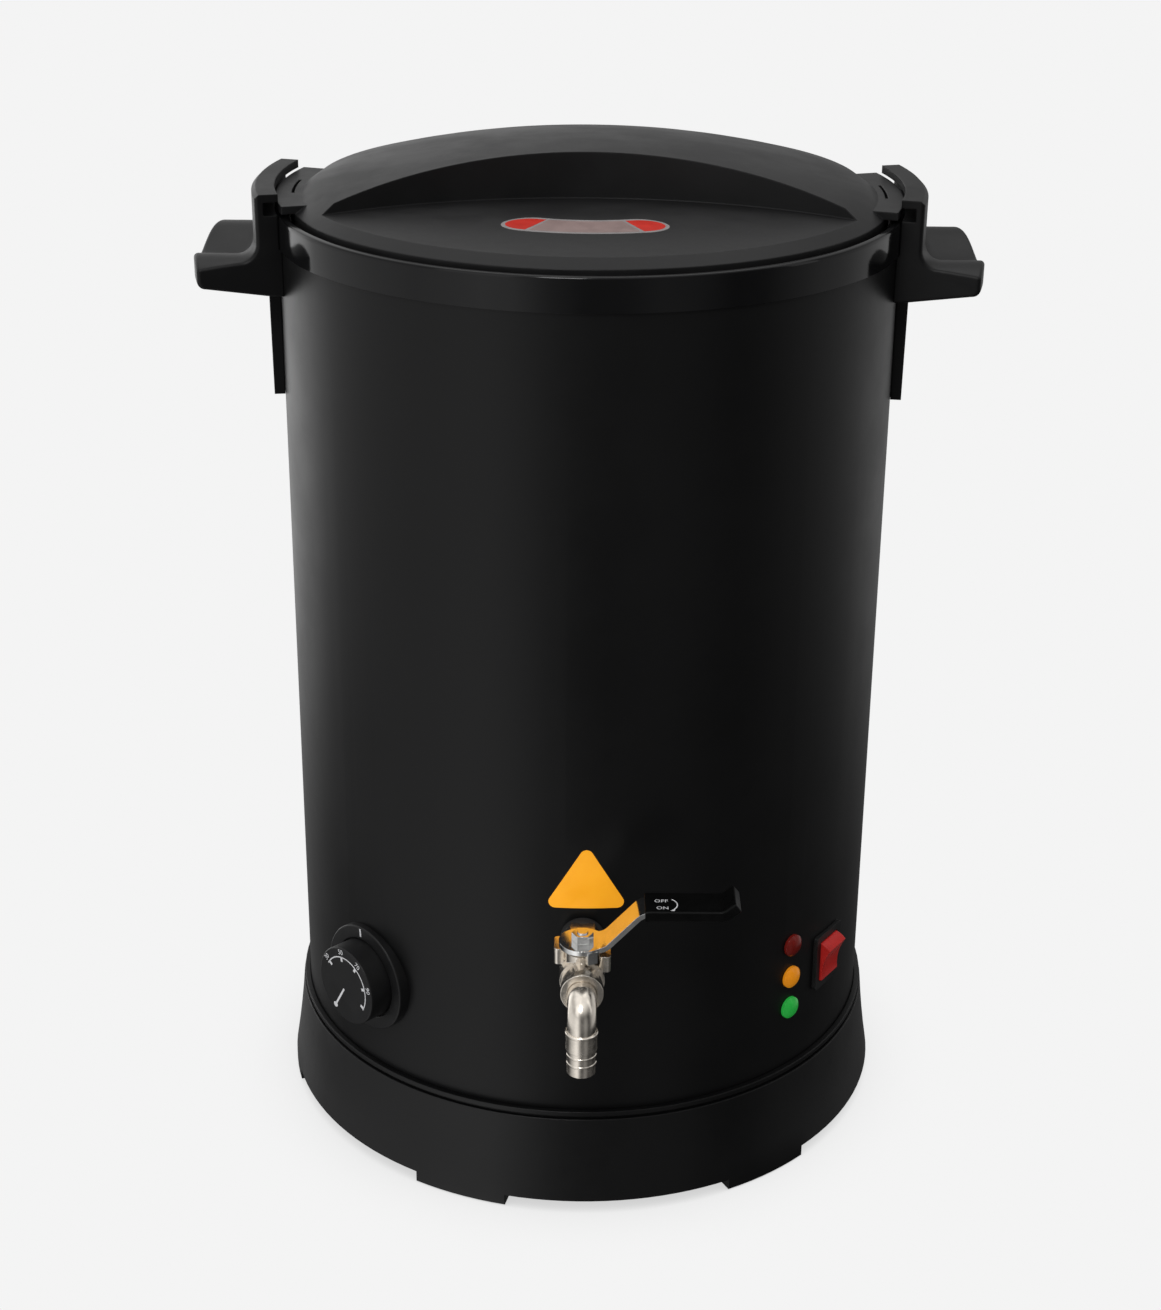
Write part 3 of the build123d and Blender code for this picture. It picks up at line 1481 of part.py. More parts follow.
with BuildPart() as thermal_cutout:
    with BuildSketch(Plane.XY.offset(heater_bottom)):
        with Locations((0, cutout_place)):
            Circle(cutout_radius)
    extrude(amount=-cutout_height)
    with BuildSketch(Plane.XY.offset(heater_bottom)):
        with Locations((0, cutout_place)):
            SlotOverall(2 * cutout_ear, cutout_radius)
        with Locations((-cutout_screw_spread, cutout_place), (cutout_screw_spread, cutout_place)):
            Circle(cutout_screw_radius + cutout_gap, mode=Mode.SUBTRACT)
    extrude(amount=-cutout_ear_thickness)
save(thermal_cutout, "thermal_cutout")

with BuildPart() as cutout_screws:
    for shift in (-cutout_screw_spread, cutout_screw_spread):
        seat = (shift, cutout_place, heater_bottom - cutout_ear_thickness)
        screw(Plane(seat, z_dir=(0, 0, -1)), cutout_screw_radius, cutout_screw_length)
save(cutout_screws, "cutout_screws")

tie_rod_end = base_plate_bottom - tie_nut_height - tie_rod_radius / 3

with BuildPart() as tie_rod:
    with BuildSketch(Plane.XY.offset(tie_rod_end)):
        Circle(tie_rod_radius)
    extrude(amount=heater_bottom + tie_rod_grip - tie_rod_end)
save(tie_rod, "tie_rod")

with BuildPart() as tie_nut:
    with BuildSketch(Plane.XY.offset(base_plate_bottom)):
        RegularPolygon(tie_nut_flats / 2, 6, major_radius=False)
        Circle(tie_rod_radius + thread_gap, mode=Mode.SUBTRACT)
    extrude(amount=-tie_nut_height)
save(tie_nut, "tie_nut")

# Wiring: terminal block and earth stud on the bottom plate, and the wires between them
block_top = web_bottom + block_height

with BuildPart() as terminal_block:
    with BuildSketch(Plane.XY.offset(web_bottom)):
        with Locations((0, block_place)):
            RectangleRounded(block_length, block_width, block_screw_radius)
        with Locations(*block_screw_places):
            Circle(block_screw_radius + cutout_gap, mode=Mode.SUBTRACT)
    extrude(amount=block_height)
save(terminal_block, "terminal_block")

with BuildPart() as block_screws:
    for place in block_screw_places:
        screw(Plane((*place, block_top)), block_screw_radius, block_height + plate_thickness)
save(block_screws, "block_screws")

with BuildPart() as earth_stud:
    with BuildSketch(Plane.XY.offset(base_plate_bottom)):
        with Locations(earth_stud_place):
            Circle(earth_stud_radius)
    extrude(amount=plate_thickness + earth_stud_height)
    with BuildSketch(Plane.XY.offset(web_bottom)):
        with Locations(earth_stud_place):
            RegularPolygon(2 * earth_stud_radius, 6)
    extrude(amount=earth_stud_radius)
save(earth_stud, "earth_stud")

# Each wire is a list of the points where its route turns
inlet_tab_end = body_radius + inlet_rear - inlet_tab_length - seat_gap
inlet_low = inlet_height - inlet_pin_shift
inlet_high = inlet_height + inlet_pin_shift
block_seat = block_top + seat_gap
earth_seat = web_bottom + earth_stud_height + seat_gap
switch_back = body_radius - switch_depth - seat_gap
thermostat_back = thermostat_seat - thermostat_depth - seat_gap
lamp_back = body_radius - lamp_body_length - wire_radius - seat_gap
element_turn = radians(element_gap)
element_reach = element_pin_length - element_pin_lap
element_tip_x = element_circle * sin(element_turn) - element_reach * cos(element_turn)
element_tip_y = element_circle * cos(element_turn) + element_reach * sin(element_turn)
element_seat = element_height - element_pin_radius - seat_gap
high_wire = switch_height + wire_spread
low_wire = switch_height - wire_spread
lamp_wire = switch_height - 2 * wire_spread
lamp_wire_low = min(lamp_heights) - 2 * wire_bend


def at(angle, radius, height):
    """Point at an angle round the pot, a distance from its axis and a height."""
    return wall_plane(angle, radius, height).origin


wire_routes = [
    [
        (-inlet_pin_spread, inlet_tab_end, inlet_low),
        (-inlet_pin_spread, block_place, inlet_low),
        (-inlet_pin_spread, block_place, block_seat),
    ],
    [
        (inlet_pin_spread, inlet_tab_end, inlet_low),
        (inlet_pin_spread, block_place, inlet_low),
        (inlet_pin_spread, block_place, block_seat),
    ],
    [
        (0, inlet_tab_end, inlet_high),
        (0, inlet_tab_end - 2 * wire_bend, inlet_high),
        (*earth_stud_place, inlet_high),
        (*earth_stud_place, earth_seat),
    ],
    [
        (2 * inlet_pin_spread, block_place, block_seat),
        (2 * inlet_pin_spread, block_place, low_wire),
        at(switch_angle, switch_back - 3 * wire_bend, low_wire),
        at(switch_angle, switch_back, low_wire),
    ],
    [
        at(switch_angle, switch_back, high_wire),
        at(switch_angle, switch_back - 3 * wire_bend, high_wire),
        at(knob_angle, thermostat_back - 3 * wire_bend, high_wire),
        at(knob_angle, thermostat_back, high_wire),
    ],
    [
        at(knob_angle, thermostat_back, low_wire),
        at(knob_angle, thermostat_back - 3 * wire_bend, low_wire),
        (-element_tip_x, element_tip_y, low_wire),
        (-element_tip_x, element_tip_y, element_seat),
    ],
    [
        (element_tip_x, element_tip_y, element_seat),
        (element_tip_x, element_tip_y, block_seat),
    ],
    [
        at(lamp_angle, lamp_back, max(lamp_heights)),
        at(lamp_angle, lamp_back, lamp_wire_low),
        at(switch_angle, switch_back - 3 * wire_bend, lamp_wire_low),
        at(switch_angle, switch_back - 3 * wire_bend, lamp_wire),
        at(switch_angle, switch_back, lamp_wire),
    ],
]

with BuildPart() as internal_wires:
    for route in wire_routes:
        with BuildLine() as wire_path:
            if len(route) > 2:
                FilletPolyline(*route, radius=wire_bend)
            else:
                Line(*route)
        with BuildSketch(Plane(origin=route[0], z_dir=Vector(*route[1]) - Vector(*route[0]))):
            Circle(wire_radius)
        sweep(path=wire_path.wires()[0])
save(internal_wires, "internal_wires")
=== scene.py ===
import json
from math import cos, pi, radians, sin

import bmesh
import bpy
from mathutils import Euler, Matrix, Vector


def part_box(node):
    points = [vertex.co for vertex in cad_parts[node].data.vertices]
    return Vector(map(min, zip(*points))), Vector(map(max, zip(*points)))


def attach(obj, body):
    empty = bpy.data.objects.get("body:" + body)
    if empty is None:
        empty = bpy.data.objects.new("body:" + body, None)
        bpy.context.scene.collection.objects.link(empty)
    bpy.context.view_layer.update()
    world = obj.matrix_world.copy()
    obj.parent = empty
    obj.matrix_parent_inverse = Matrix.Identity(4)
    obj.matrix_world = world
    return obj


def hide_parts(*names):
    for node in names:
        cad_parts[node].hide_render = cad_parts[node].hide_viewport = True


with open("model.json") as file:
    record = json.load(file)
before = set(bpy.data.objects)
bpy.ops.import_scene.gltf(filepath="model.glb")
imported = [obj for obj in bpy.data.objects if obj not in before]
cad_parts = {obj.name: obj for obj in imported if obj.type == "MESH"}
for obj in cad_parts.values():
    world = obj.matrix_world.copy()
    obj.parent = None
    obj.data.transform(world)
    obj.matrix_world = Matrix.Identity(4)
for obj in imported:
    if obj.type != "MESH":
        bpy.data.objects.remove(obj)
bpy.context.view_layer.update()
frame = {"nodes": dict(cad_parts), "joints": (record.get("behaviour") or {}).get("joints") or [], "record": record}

MM = 0.001
NODES = frame["nodes"]
RECORD = frame["record"]
JOINTS = {joint["name"]: joint for joint in frame["joints"]}
SLOT_OF = {part["node"]: part["material_slot"] for part in RECORD["subparts"]}
BODY_OF = {node: body for body, group in RECORD["behaviour"]["bodies"].items() for node in group}

# Photo size in pixels, and the camera that was fitted to it
PHOTO = (1161, 1310)
FOCAL_PIXELS = 2300
CENTRE_PIXEL = 585.3
CAMERA_PLACE = (0, -1.1087, 0.7163)
CAMERA_PITCH = radians(23.43)
CAMERA_ROLL = 0.0098
SENSOR = 36

# Brightness of the empty studio as the camera sees it
BACKDROP = 0.904

# Floor, in metres, and its brightness close to the feet as a share of the studio's, where a contact shadow is
# painted
FLOOR_HALF = 30
FLOOR_DROP = 0.0002
FLOOR_SHADE_REACH = 0.09
FLOOR_OPEN = 0.85
FLOOR_SHADE = 0.68

# Light from round the pot, as (azimuth from the front in degrees, brightness)
WALL_LIGHT = (
    (-180, 0.5), (-165, 0.9), (-150, 1.2), (-138, 1.5), (-124, 1.55), (-117, 0.95), (-105, 0.85),
    (-90, 0.82), (-77, 0.8), (-64, 0.74), (-50, 0.88), (-38, 1.05), (-27, 0.95), (-14, 0.38), (-2, 0.14),
    (13, 0.16), (26, 0.3), (39, 0.24), (52, 0.08), (64, 0.1), (77, 0.3), (90, 0.45), (103, 0.48), (115, 0.56),
    (127, 0.64), (140, 0.58), (155, 0.4), (168, 0.34), (180, 0.5),
)
# The same for light that comes from well below
WALL_LOW = (
    (-180, 0.15), (-165, 0.15), (-150, 0.15), (-138, 0.1), (-125, 0.04), (-110, 0.04), (-90, 0.3),
    (-77, 0.54), (-64, 0.68), (-50, 0.88), (-38, 1.05), (-27, 0.95), (-14, 0.36), (-2, 0.12), (13, 0.12),
    (26, 0.24), (39, 0.2), (52, 0.06), (64, 0.06), (77, 0.07), (90, 0.04), (103, 0.02), (115, 0.02),
    (127, 0.03), (140, 0.04), (155, 0.06), (168, 0.1), (180, 0.15),
)
# Over the height of the direction, as (from, to, value at from, value at to): how the low light gives way
# to the light from round the pot, how both fade upward, and how the light from above rises
LOW_RISE = (-0.47, -0.29, 0.0, 1.0)
WALL_FADE = (0.1, 0.6, 1.0, 0.3)
SKY_RISE = (0.3, 0.9, 0.0, 0.85)

# Soft lights, as (name, place, aim, width, height, energy), in metres and watts
SOFTBOXES = (
    ("softbox_left", (-1.1, -1.3, 1.3), (0, 0, 0.3), 0.9, 0.9, 1.5),
    ("softbox_top", (0.1, 0.5, 1.7), (0, 0, 0.45), 1.2, 0.7, 3.0),
    ("softbox_front", (-0.3, -1.6, 1.9), (0, 0, 0.25), 0.5, 0.5, 10.0),
    ("softbox_right", (1.4, -0.3, 1.0), (0, 0, 0.3), 0.35, 1.2, 0.8),
)

# Parts of the noise's range that count as clouds and as specks
CLOUDS = (0.3, 0.7)
SPECKS = (0.62, 0.8)
# Turn of the surface at an edge, as a cosine, from no wear to full wear, and how much paler wear is
EDGE_TURN = (0.99, 0.85)
WORN_PALER = 1.6
# Sizes of patterns in mm: rings of spun sheet, rings of a lens, fibres of the blanket
SPUN_PITCH = 0.7
LENS_PITCH = 1.3
FIBRE_SIZE = 1.6

# Thickness of print and stickers, of a colour field on a sticker, and the gap under a sticker, in mm
PRINT = 0.04
STICKER = 0.12
FIELD = 0.03
STICKER_GAP = 0.01

# Points closer than this in mm are one, and faces that turn less than this in degrees are one
WELD = 0.002
FLAT = 0.2

# Font size over the height of its letters
FONT_SHARE = 1.4

UP = Vector((0, 0, 1))


# Node trees

def put(tree, kind, inputs=(), **settings):
    """Add a node, with its settings and with a value or a link on each named input."""
    made = tree.nodes.new(kind)
    for key, value in settings.items():
        setattr(made, key, value)
    for key, value in dict(inputs).items():
        if isinstance(value, bpy.types.NodeSocket):
            tree.links.new(value, made.inputs[key])
        else:
            made.inputs[key].default_value = value
    return made


def ranged(tree, value, low, high, to_low, to_high):
    """Map a value's range to another range, smoothly."""
    inputs = {"Value": value, "From Min": low, "From Max": high, "To Min": to_low, "To Max": to_high}
    return put(tree, "ShaderNodeMapRange", inputs, interpolation_type="SMOOTHSTEP").outputs["Result"]


def ramp(tree, value, stops):
    """Colour ramp through (place, colour) stops."""
    made = put(tree, "ShaderNodeValToRGB", {"Fac": value})
    elements = made.color_ramp.elements
    while len(elements) < len(stops):
        elements.new(0.5)
    for element, (place, color) in zip(elements, stops):
        element.position = place
        element.color = (*color, 1)
    return made.outputs["Color"]


def mixed(tree, factor, first, second):
    """Colour between two colours by a factor."""
    made = put(tree, "ShaderNodeMix", {0: factor}, data_type="RGBA")
    for index, color in ((6, first), (7, second)):
        if isinstance(color, bpy.types.NodeSocket):
            tree.links.new(color, made.inputs[index])
        else:
            made.inputs[index].default_value = (*color, 1)
    return made.outputs[2]


def scaled(color, factor):
    """Paler or darker colour."""
    return tuple(min(1.0, channel * factor) for channel in color)


def noise(tree, place, size, detail=3.0, rough=0.5):
    """Noise with features of a size in mm."""
    inputs = {"Vector": place, "Scale": 1 / (size * MM), "Detail": detail, "Roughness": rough}
    return put(tree, "ShaderNodeTexNoise", inputs).outputs["Fac"]


def object_place(tree, centre=(0, 0, 0), stretch=(1, 1, 1)):
    """Place on the object in metres, from a centre, stretched along the axes."""
    place = put(tree, "ShaderNodeTexCoord").outputs["Object"]
    moved = put(tree, "ShaderNodeVectorMath", {0: place, 1: centre}, operation="SUBTRACT")
    inputs = {0: moved.outputs["Vector"], 1: stretch}
    return put(tree, "ShaderNodeVectorMath", inputs, operation="MULTIPLY").outputs["Vector"]


def finish(name, color, roughness, metallic=0.0, grain=0.4, relief=0.01, cloud=40.0, spread=0.06,
           tint=0.15, wear=0.3, edge=0.3, stretch=(1, 1, 1), pattern=None, **sockets):
    """Material with grain in relief, clouds in its colour and gloss, and worn edges. Sizes in mm."""
    material = bpy.data.materials.new(name)
    material.use_nodes = True
    tree = material.node_tree
    shader = tree.nodes["Principled BSDF"]
    broad = noise(tree, object_place(tree), cloud, 6.0, 0.65)
    fine = noise(tree, object_place(tree, stretch=stretch), grain)
    shades = (scaled(color, 1 - tint), scaled(color, 1 + tint))
    cloudy = ramp(tree, broad, list(zip(CLOUDS, shades)))
    specks = ranged(tree, fine, *SPECKS, 0.0, tint)
    body = mixed(tree, specks, cloudy, scaled(color, 1 + 2 * tint))
    soft = put(tree, "ShaderNodeBevel", {"Radius": edge * MM}, samples=4).outputs["Normal"]
    flat = put(tree, "ShaderNodeNewGeometry").outputs["Normal"]
    turn = put(tree, "ShaderNodeVectorMath", {0: soft, 1: flat}, operation="DOT_PRODUCT")
    worn = ranged(tree, turn.outputs["Value"], *EDGE_TURN, 0.0, wear)
    tree.links.new(mixed(tree, worn, body, scaled(color, WORN_PALER)), shader.inputs["Base Color"])
    height = fine
    if pattern:
        height = pattern(tree, fine)
    bump = put(tree, "ShaderNodeBump", {"Height": height, "Distance": relief * MM, "Normal": soft})
    tree.links.new(bump.outputs["Normal"], shader.inputs["Normal"])
    gloss = ranged(tree, broad, *CLOUDS, max(roughness - spread, 0.02), roughness + spread)
    tree.links.new(gloss, shader.inputs["Roughness"])
    shader.inputs["Metallic"].default_value = metallic
    for key, value in sockets.items():
        shader.inputs[key.replace("_", " ").title().replace("Ior", "IOR")].default_value = value
    return material


def spun_rings(tree, fine):
    """Fine rings about the pot's axis, as a spun sheet has."""
    across = object_place(tree, stretch=(1, 1, 0))
    reach = put(tree, "ShaderNodeVectorMath", {0: across}, operation="LENGTH").outputs["Value"]
    inputs = {"W": reach, "Scale": 1 / (SPUN_PITCH * MM), "Detail": 4.0}
    rings = put(tree, "ShaderNodeTexNoise", inputs, noise_dimensions="1D").outputs["Fac"]
    return put(tree, "ShaderNodeMath", {0: rings, 1: fine}, operation="ADD").outputs["Value"]


def lens_rings(centre):
    """Moulded rings round a lamp lens's own middle."""
    def rings(tree, fine):
        place = object_place(tree, centre=centre)
        reach = put(tree, "ShaderNodeVectorMath", {0: place}, operation="LENGTH").outputs["Value"]
        waves = 2 * pi / (LENS_PITCH * MM)
        wave = put(tree, "ShaderNodeMath", {0: reach, 1: waves}, operation="MULTIPLY")
        return put(tree, "ShaderNodeMath", {0: wave.outputs["Value"]}, operation="SINE").outputs["Value"]
    return rings


def weave_fibres(tree, fine):
    """Tangled fibres of a needled blanket."""
    place = object_place(tree, stretch=(1, 1, 3))
    inputs = {"Vector": place, "Scale": 1 / (FIBRE_SIZE * MM)}
    cells = put(tree, "ShaderNodeTexVoronoi", inputs, feature="DISTANCE_TO_EDGE").outputs["Distance"]
    return put(tree, "ShaderNodeMath", {0: cells, 1: fine}, operation="ADD").outputs["Value"]


def middle(node):
    """Middle of a node's box."""
    low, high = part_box(node)
    return (low + high) / 2


MATERIALS = {
    "shell_paint": finish("shell_paint", (0.0045, 0.0045, 0.0047), 0.36, grain=0.9, relief=0.004, cloud=55,
                          spread=0.03, tint=0.12, wear=0.15, specular_ior_level=0.2),
    "rim_gloss": finish("rim_gloss", (0.004, 0.004, 0.0043), 0.11, grain=0.7, relief=0.002, spread=0.04,
                        wear=0.2, specular_ior_level=0.25),
    "moulded_black": finish("moulded_black", (0.009, 0.009, 0.0093), 0.42, grain=0.45, relief=0.02,
                            spread=0.05, wear=0.25, edge=0.9, specular_ior_level=0.24),
    "control_black": finish("control_black", (0.008, 0.008, 0.0083), 0.42, grain=0.3, relief=0.006,
                            cloud=12, wear=0.35, specular_ior_level=0.25),
    "vessel_steel": finish("vessel_steel", (0.56, 0.55, 0.53), 0.3, 1.0, grain=0.5, relief=0.006,
                           pattern=spun_rings),
    "plated_steel": finish("plated_steel", (0.44, 0.44, 0.42), 0.36, 1.0, grain=0.6, relief=0.006,
                           cloud=3, spread=0.1, tint=0.2),
    "heater_aluminium": finish("heater_aluminium", (0.6, 0.6, 0.6), 0.5, 1.0, grain=0.8, relief=0.03),
    "heater_sheath": finish("heater_sheath", (0.22, 0.2, 0.18), 0.45, 1.0, grain=0.5, cloud=10, tint=0.3),
    "valve_nickel": finish("valve_nickel", (0.78, 0.72, 0.64), 0.22, 1.0, grain=0.5, relief=0.006, cloud=6,
                           spread=0.07, tint=0.12),
    "lever_chrome": finish("lever_chrome", (0.8, 0.8, 0.79), 0.13, 1.0, grain=0.6, relief=0.002,
                           cloud=8, spread=0.05, tint=0.08, stretch=(0.15, 1, 1)),
    "lever_vinyl": finish("lever_vinyl", (0.003, 0.003, 0.003), 0.34, grain=1.2, relief=0.02, cloud=9,
                          spread=0.08, specular_ior_level=0.08),
    "pad_rubber": finish("pad_rubber", (0.014, 0.014, 0.014), 0.75, grain=0.5, relief=0.03),
    "seal_silicone": finish("seal_silicone", (0.02, 0.018, 0.018), 0.55, grain=0.6, relief=0.01, cloud=10),
    "valve_seat_white": finish("valve_seat_white", (0.8, 0.8, 0.78), 0.4, cloud=5, tint=0.06),
    "contact_brass": finish("contact_brass", (0.72, 0.55, 0.28), 0.25, 1.0, cloud=3, spread=0.1),
    "inner_plastic": finish("inner_plastic", (0.68, 0.64, 0.53), 0.45, grain=0.5, cloud=14),
    "wire_sleeving": finish("wire_sleeving", (0.5, 0.5, 0.47), 0.55, grain=0.35, relief=0.03, cloud=8),
    "insulation_wool": finish("insulation_wool", (0.7, 0.67, 0.58), 0.95, grain=0.8, relief=0.4, cloud=12,
                              tint=0.25, pattern=weave_fibres),
    # The rocker's faint glow is painted light: the switch is no lamp
    "rocker_red": finish("rocker_red", (0.42, 0.016, 0.014), 0.3, grain=0.4, relief=0.002, cloud=6,
                         spread=0.05, specular_ior_level=0.2, emission_color=(0.5, 0.02, 0.015, 1),
                         emission_strength=0.1),
    "lens_red": finish("lens_red", (0.16, 0.009, 0.006), 0.24, relief=0.05, cloud=4, edge=0.15,
                       pattern=lens_rings(middle("lens_red")), specular_ior_level=0.25),
    "lens_amber": finish("lens_amber", (0.62, 0.2, 0.008), 0.2, relief=0.05, cloud=4, edge=0.15,
                         pattern=lens_rings(middle("lens_amber")), specular_ior_level=0.25,
                         emission_color=(1.0, 0.36, 0.01, 1), emission_strength=0.24),
    "lens_green": finish("lens_green", (0.02, 0.3, 0.045), 0.2, relief=0.05, cloud=4, edge=0.15,
                         pattern=lens_rings(middle("lens_green")), specular_ior_level=0.25,
                         emission_color=(0.02, 0.5, 0.06, 1), emission_strength=0.26),
}
# Darker copies of the moulded black for the handles and the base ring, with painted shade: they are the same
# plastic as the lid
HANDLE_SHADED_BLACK = finish("handle_shaded_black", (0.0025, 0.0025, 0.0027), 0.42, grain=0.45, relief=0.02, spread=0.05,
                      wear=0.25, edge=0.9, specular_ior_level=0.22)
BASE_SHADED_BLACK = finish("base_shaded_black", (0.003, 0.003, 0.0032), 0.36, grain=0.45, relief=0.015, spread=0.05,
                    wear=0.25, edge=0.9, specular_ior_level=0.28)
SHADED_LOOK = {"handle_left": HANDLE_SHADED_BLACK, "handle_right": HANDLE_SHADED_BLACK, "base_ring": BASE_SHADED_BLACK}


def look(node):
    """Material of a node: its darker copy with painted shade if it has one, or else its slot's."""
    return SHADED_LOOK.get(node, MATERIALS[SLOT_OF[node]])


PRINT_WHITE = finish("print_white", (0.72, 0.72, 0.74), 0.5, grain=0.25, relief=0.004, cloud=5, edge=0.02,
                     wear=0.0)
# The amber sticker's glow is painted light: a sticker is no lamp
STICKER_AMBER = finish("sticker_amber", (0.95, 0.42, 0.012), 0.36, grain=0.5, relief=0.004, cloud=14,
                       tint=0.08, edge=0.08, emission_color=(1.0, 0.36, 0.01, 1), emission_strength=0.36)
STICKER_GREY = finish("sticker_grey", (0.24, 0.225, 0.225), 0.42, grain=0.5, relief=0.004, cloud=10,
                      tint=0.1, edge=0.08)
STICKER_PALE = finish("sticker_pale", (0.24, 0.165, 0.155), 0.42, grain=0.5, relief=0.004, cloud=10,
                      tint=0.1, edge=0.05)
STICKER_RED = finish("sticker_red", (0.5, 0.016, 0.006), 0.4, grain=0.5, relief=0.004, cloud=9, tint=0.1,
                     edge=0.05, specular_ior_level=0.2)


# Pieces

def show(name, mesh, body, slot, material):
    """A new piece of the scene on a body, with its material; its slot is not used."""
    made = bpy.data.objects.new(name, mesh)
    bpy.context.scene.collection.objects.link(made)
    mesh.materials.clear()
    mesh.materials.append(material)
    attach(made, body)
    return made


def smooth(mesh, angle):
    """Smooth shading, with sharp edges from an angle in degrees."""
    mesh.shade_smooth()
    mesh.set_sharp_from_angle(angle=radians(angle))


def rounded(node, width, segments=2, angle=28):
    """Copy of a CAD node with its sharp edges rounded over, which stands for the node."""
    work = bmesh.new()
    work.from_mesh(NODES[node].data)
    bmesh.ops.remove_doubles(work, verts=work.verts, dist=WELD * MM)
    bmesh.ops.dissolve_limit(work, angle_limit=radians(FLAT), verts=work.verts, edges=work.edges)
    work.verts.index_update()
    faces = [[vert.index for vert in face.verts] for face in work.faces]
    mesh = bpy.data.meshes.new(node + "_rounded")
    mesh.from_pydata([vert.co for vert in work.verts], [], faces)
    work.free()
    smooth(mesh, 40)
    made = show(node + "_rounded", mesh, BODY_OF[node], SLOT_OF[node], look(node))
    bevel = made.modifiers.new("edges", "BEVEL")
    bevel.width = width * MM
    bevel.segments = segments
    bevel.limit_method = "ANGLE"
    bevel.angle_limit = radians(angle)
    bevel.use_clamp_overlap = True
    bevel.harden_normals = True
    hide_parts(node)


def plate(outline, thickness, cuts=()):
    """Thin plate over an outline in mm, cut across x so that it can be bent."""
    work = bmesh.new()
    work.faces.new([work.verts.new((x * MM, y * MM, 0)) for x, y in outline])
    for cut in cuts:
        everything = work.verts[:] + work.edges[:] + work.faces[:]
        bmesh.ops.bisect_plane(work, geom=everything, plane_co=(cut * MM, 0, 0), plane_no=(1, 0, 0))
    raised = bmesh.ops.extrude_face_region(work, geom=work.faces[:])["geom"]
    top = [part for part in raised if isinstance(part, bmesh.types.BMVert)]
    bmesh.ops.translate(work, verts=top, vec=(0, 0, thickness * MM))
    bmesh.ops.recalc_face_normals(work, faces=work.faces)
    return work


def joined(name, works, place):
    """One mesh from several plates, with each point put in place by a function."""
    mesh = bpy.data.meshes.new(name)
    points, faces = [], []
    for work in works:
        start = len(points)
        work.verts.index_update()
        points += [place(vert.co) for vert in work.verts]
        faces += [[start + vert.index for vert in face.verts] for face in work.faces]
        work.free()
    mesh.from_pydata(points, [], faces)
    smooth(mesh, 30)
    return mesh


def lettering(words, height, thickness, shift, turn=0.0):
    """Plate in the shape of upright letters, at a shift in mm and turned about its middle."""
    curve = bpy.data.curves.new("letters", "FONT")
    curve.body = words
    curve.size = height * FONT_SHARE * MM
    curve.align_x = "CENTER"
    curve.align_y = "CENTER"
    curve.extrude = thickness / 2 * MM
    curve.resolution_u = 3
    holder = bpy.data.objects.new("letters", curve)
    mesh = bpy.data.meshes.new_from_object(holder)
    work = bmesh.new()
    work.from_mesh(mesh)
    seat = Matrix.Translation((shift[0] * MM, shift[1] * MM, thickness / 2 * MM))
    bmesh.ops.transform(work, matrix=seat @ Matrix.Rotation(turn, 4, "Z"), verts=work.verts)
    bpy.data.objects.remove(holder)
    bpy.data.curves.remove(curve)
    bpy.data.meshes.remove(mesh)
    return work


def turned(name, profile, count):
    """Ring round the pot's axis from a closed outline of (radius, height) points in mm."""
    points, faces = [], []
    total = len(profile)
    for step in range(count):
        angle = 2 * pi * step / count
        across, along = cos(angle) * MM, sin(angle) * MM
        points += [(radius * across, radius * along, height * MM) for radius, height in profile]
        start, after = step * total, (step + 1) % count * total
        for i in range(total):
            j = (i + 1) % total
            faces.append((start + i, after + i, after + j, start + j))
    mesh = bpy.data.meshes.new(name)
    mesh.from_pydata(points, [], faces)
    work = bmesh.new()
    work.from_mesh(mesh)
    bmesh.ops.recalc_face_normals(work, faces=work.faces)
    work.to_mesh(mesh)
    work.free()
    smooth(mesh, 35)
    return mesh


def arc_points(radius, start, end, count, centre=(0, 0)):
    """Points on an arc, with its angles in degrees."""
    angles = [radians(start + (end - start) * i / count) for i in range(count + 1)]
    return [(centre[0] + radius * cos(a), centre[1] + radius * sin(a)) for a in angles]


def arc_band(radius, width, start, end, count=48, centre=(0, 0)):
    """Outline of a band along an arc."""
    outer = arc_points(radius + width / 2, start, end, count, centre)
    inner = arc_points(radius - width / 2, end, start, count, centre)
    return outer + inner


def rounded_outline(corners, radius, count=8):
    """Outline through corners in turn, with each corner rounded by an arc."""
    outline = []
    total = len(corners)
    for i in range(total):
        here = Vector(corners[i])
        before = (Vector(corners[i - 1]) - here).normalized()
        after = (Vector(corners[(i + 1) % total]) - here).normalized()
        half = before.angle(after) / 2
        centre = here + (before + after).normalized() * (radius / sin(half))
        start = here + before * (radius * cos(half) / sin(half)) - centre
        sweep = start.angle_signed(here + after * (radius * cos(half) / sin(half)) - centre)
        for step in range(count + 1):
            spoke = start.copy()
            spoke.rotate(Matrix.Rotation(-sweep * step / count, 2))
            outline.append(tuple(centre + spoke))
    return outline


def bar(start, end, width):
    """Outline of a straight bar between two points."""
    line = Vector(end) - Vector(start)
    side = Vector((-line.y, line.x)).normalized() * width / 2
    corners = [Vector(start) + side, Vector(end) + side, Vector(end) - side, Vector(start) - side]
    return [tuple(corner) for corner in corners]


def polar(radius, angle):
    """Point at a radius and an angle in degrees."""
    return radius * cos(radians(angle)), radius * sin(radians(angle))


def face_frame(outward, distance, height):
    """Matrix of an upright face: x to the right as it is looked at, y up, z outward."""
    right = (-outward).cross(UP)
    origin = outward * distance + UP * height
    return Matrix((
        (right.x, UP.x, outward.x, origin.x),
        (right.y, UP.y, outward.y, origin.y),
        (right.z, UP.z, outward.z, origin.z),
        (0, 0, 0, 1),
    ))


def reach_along(node, direction):
    """How far a node reaches along a direction from the origin."""
    return max(vert.co.dot(direction) for vert in NODES[node].data.vertices)


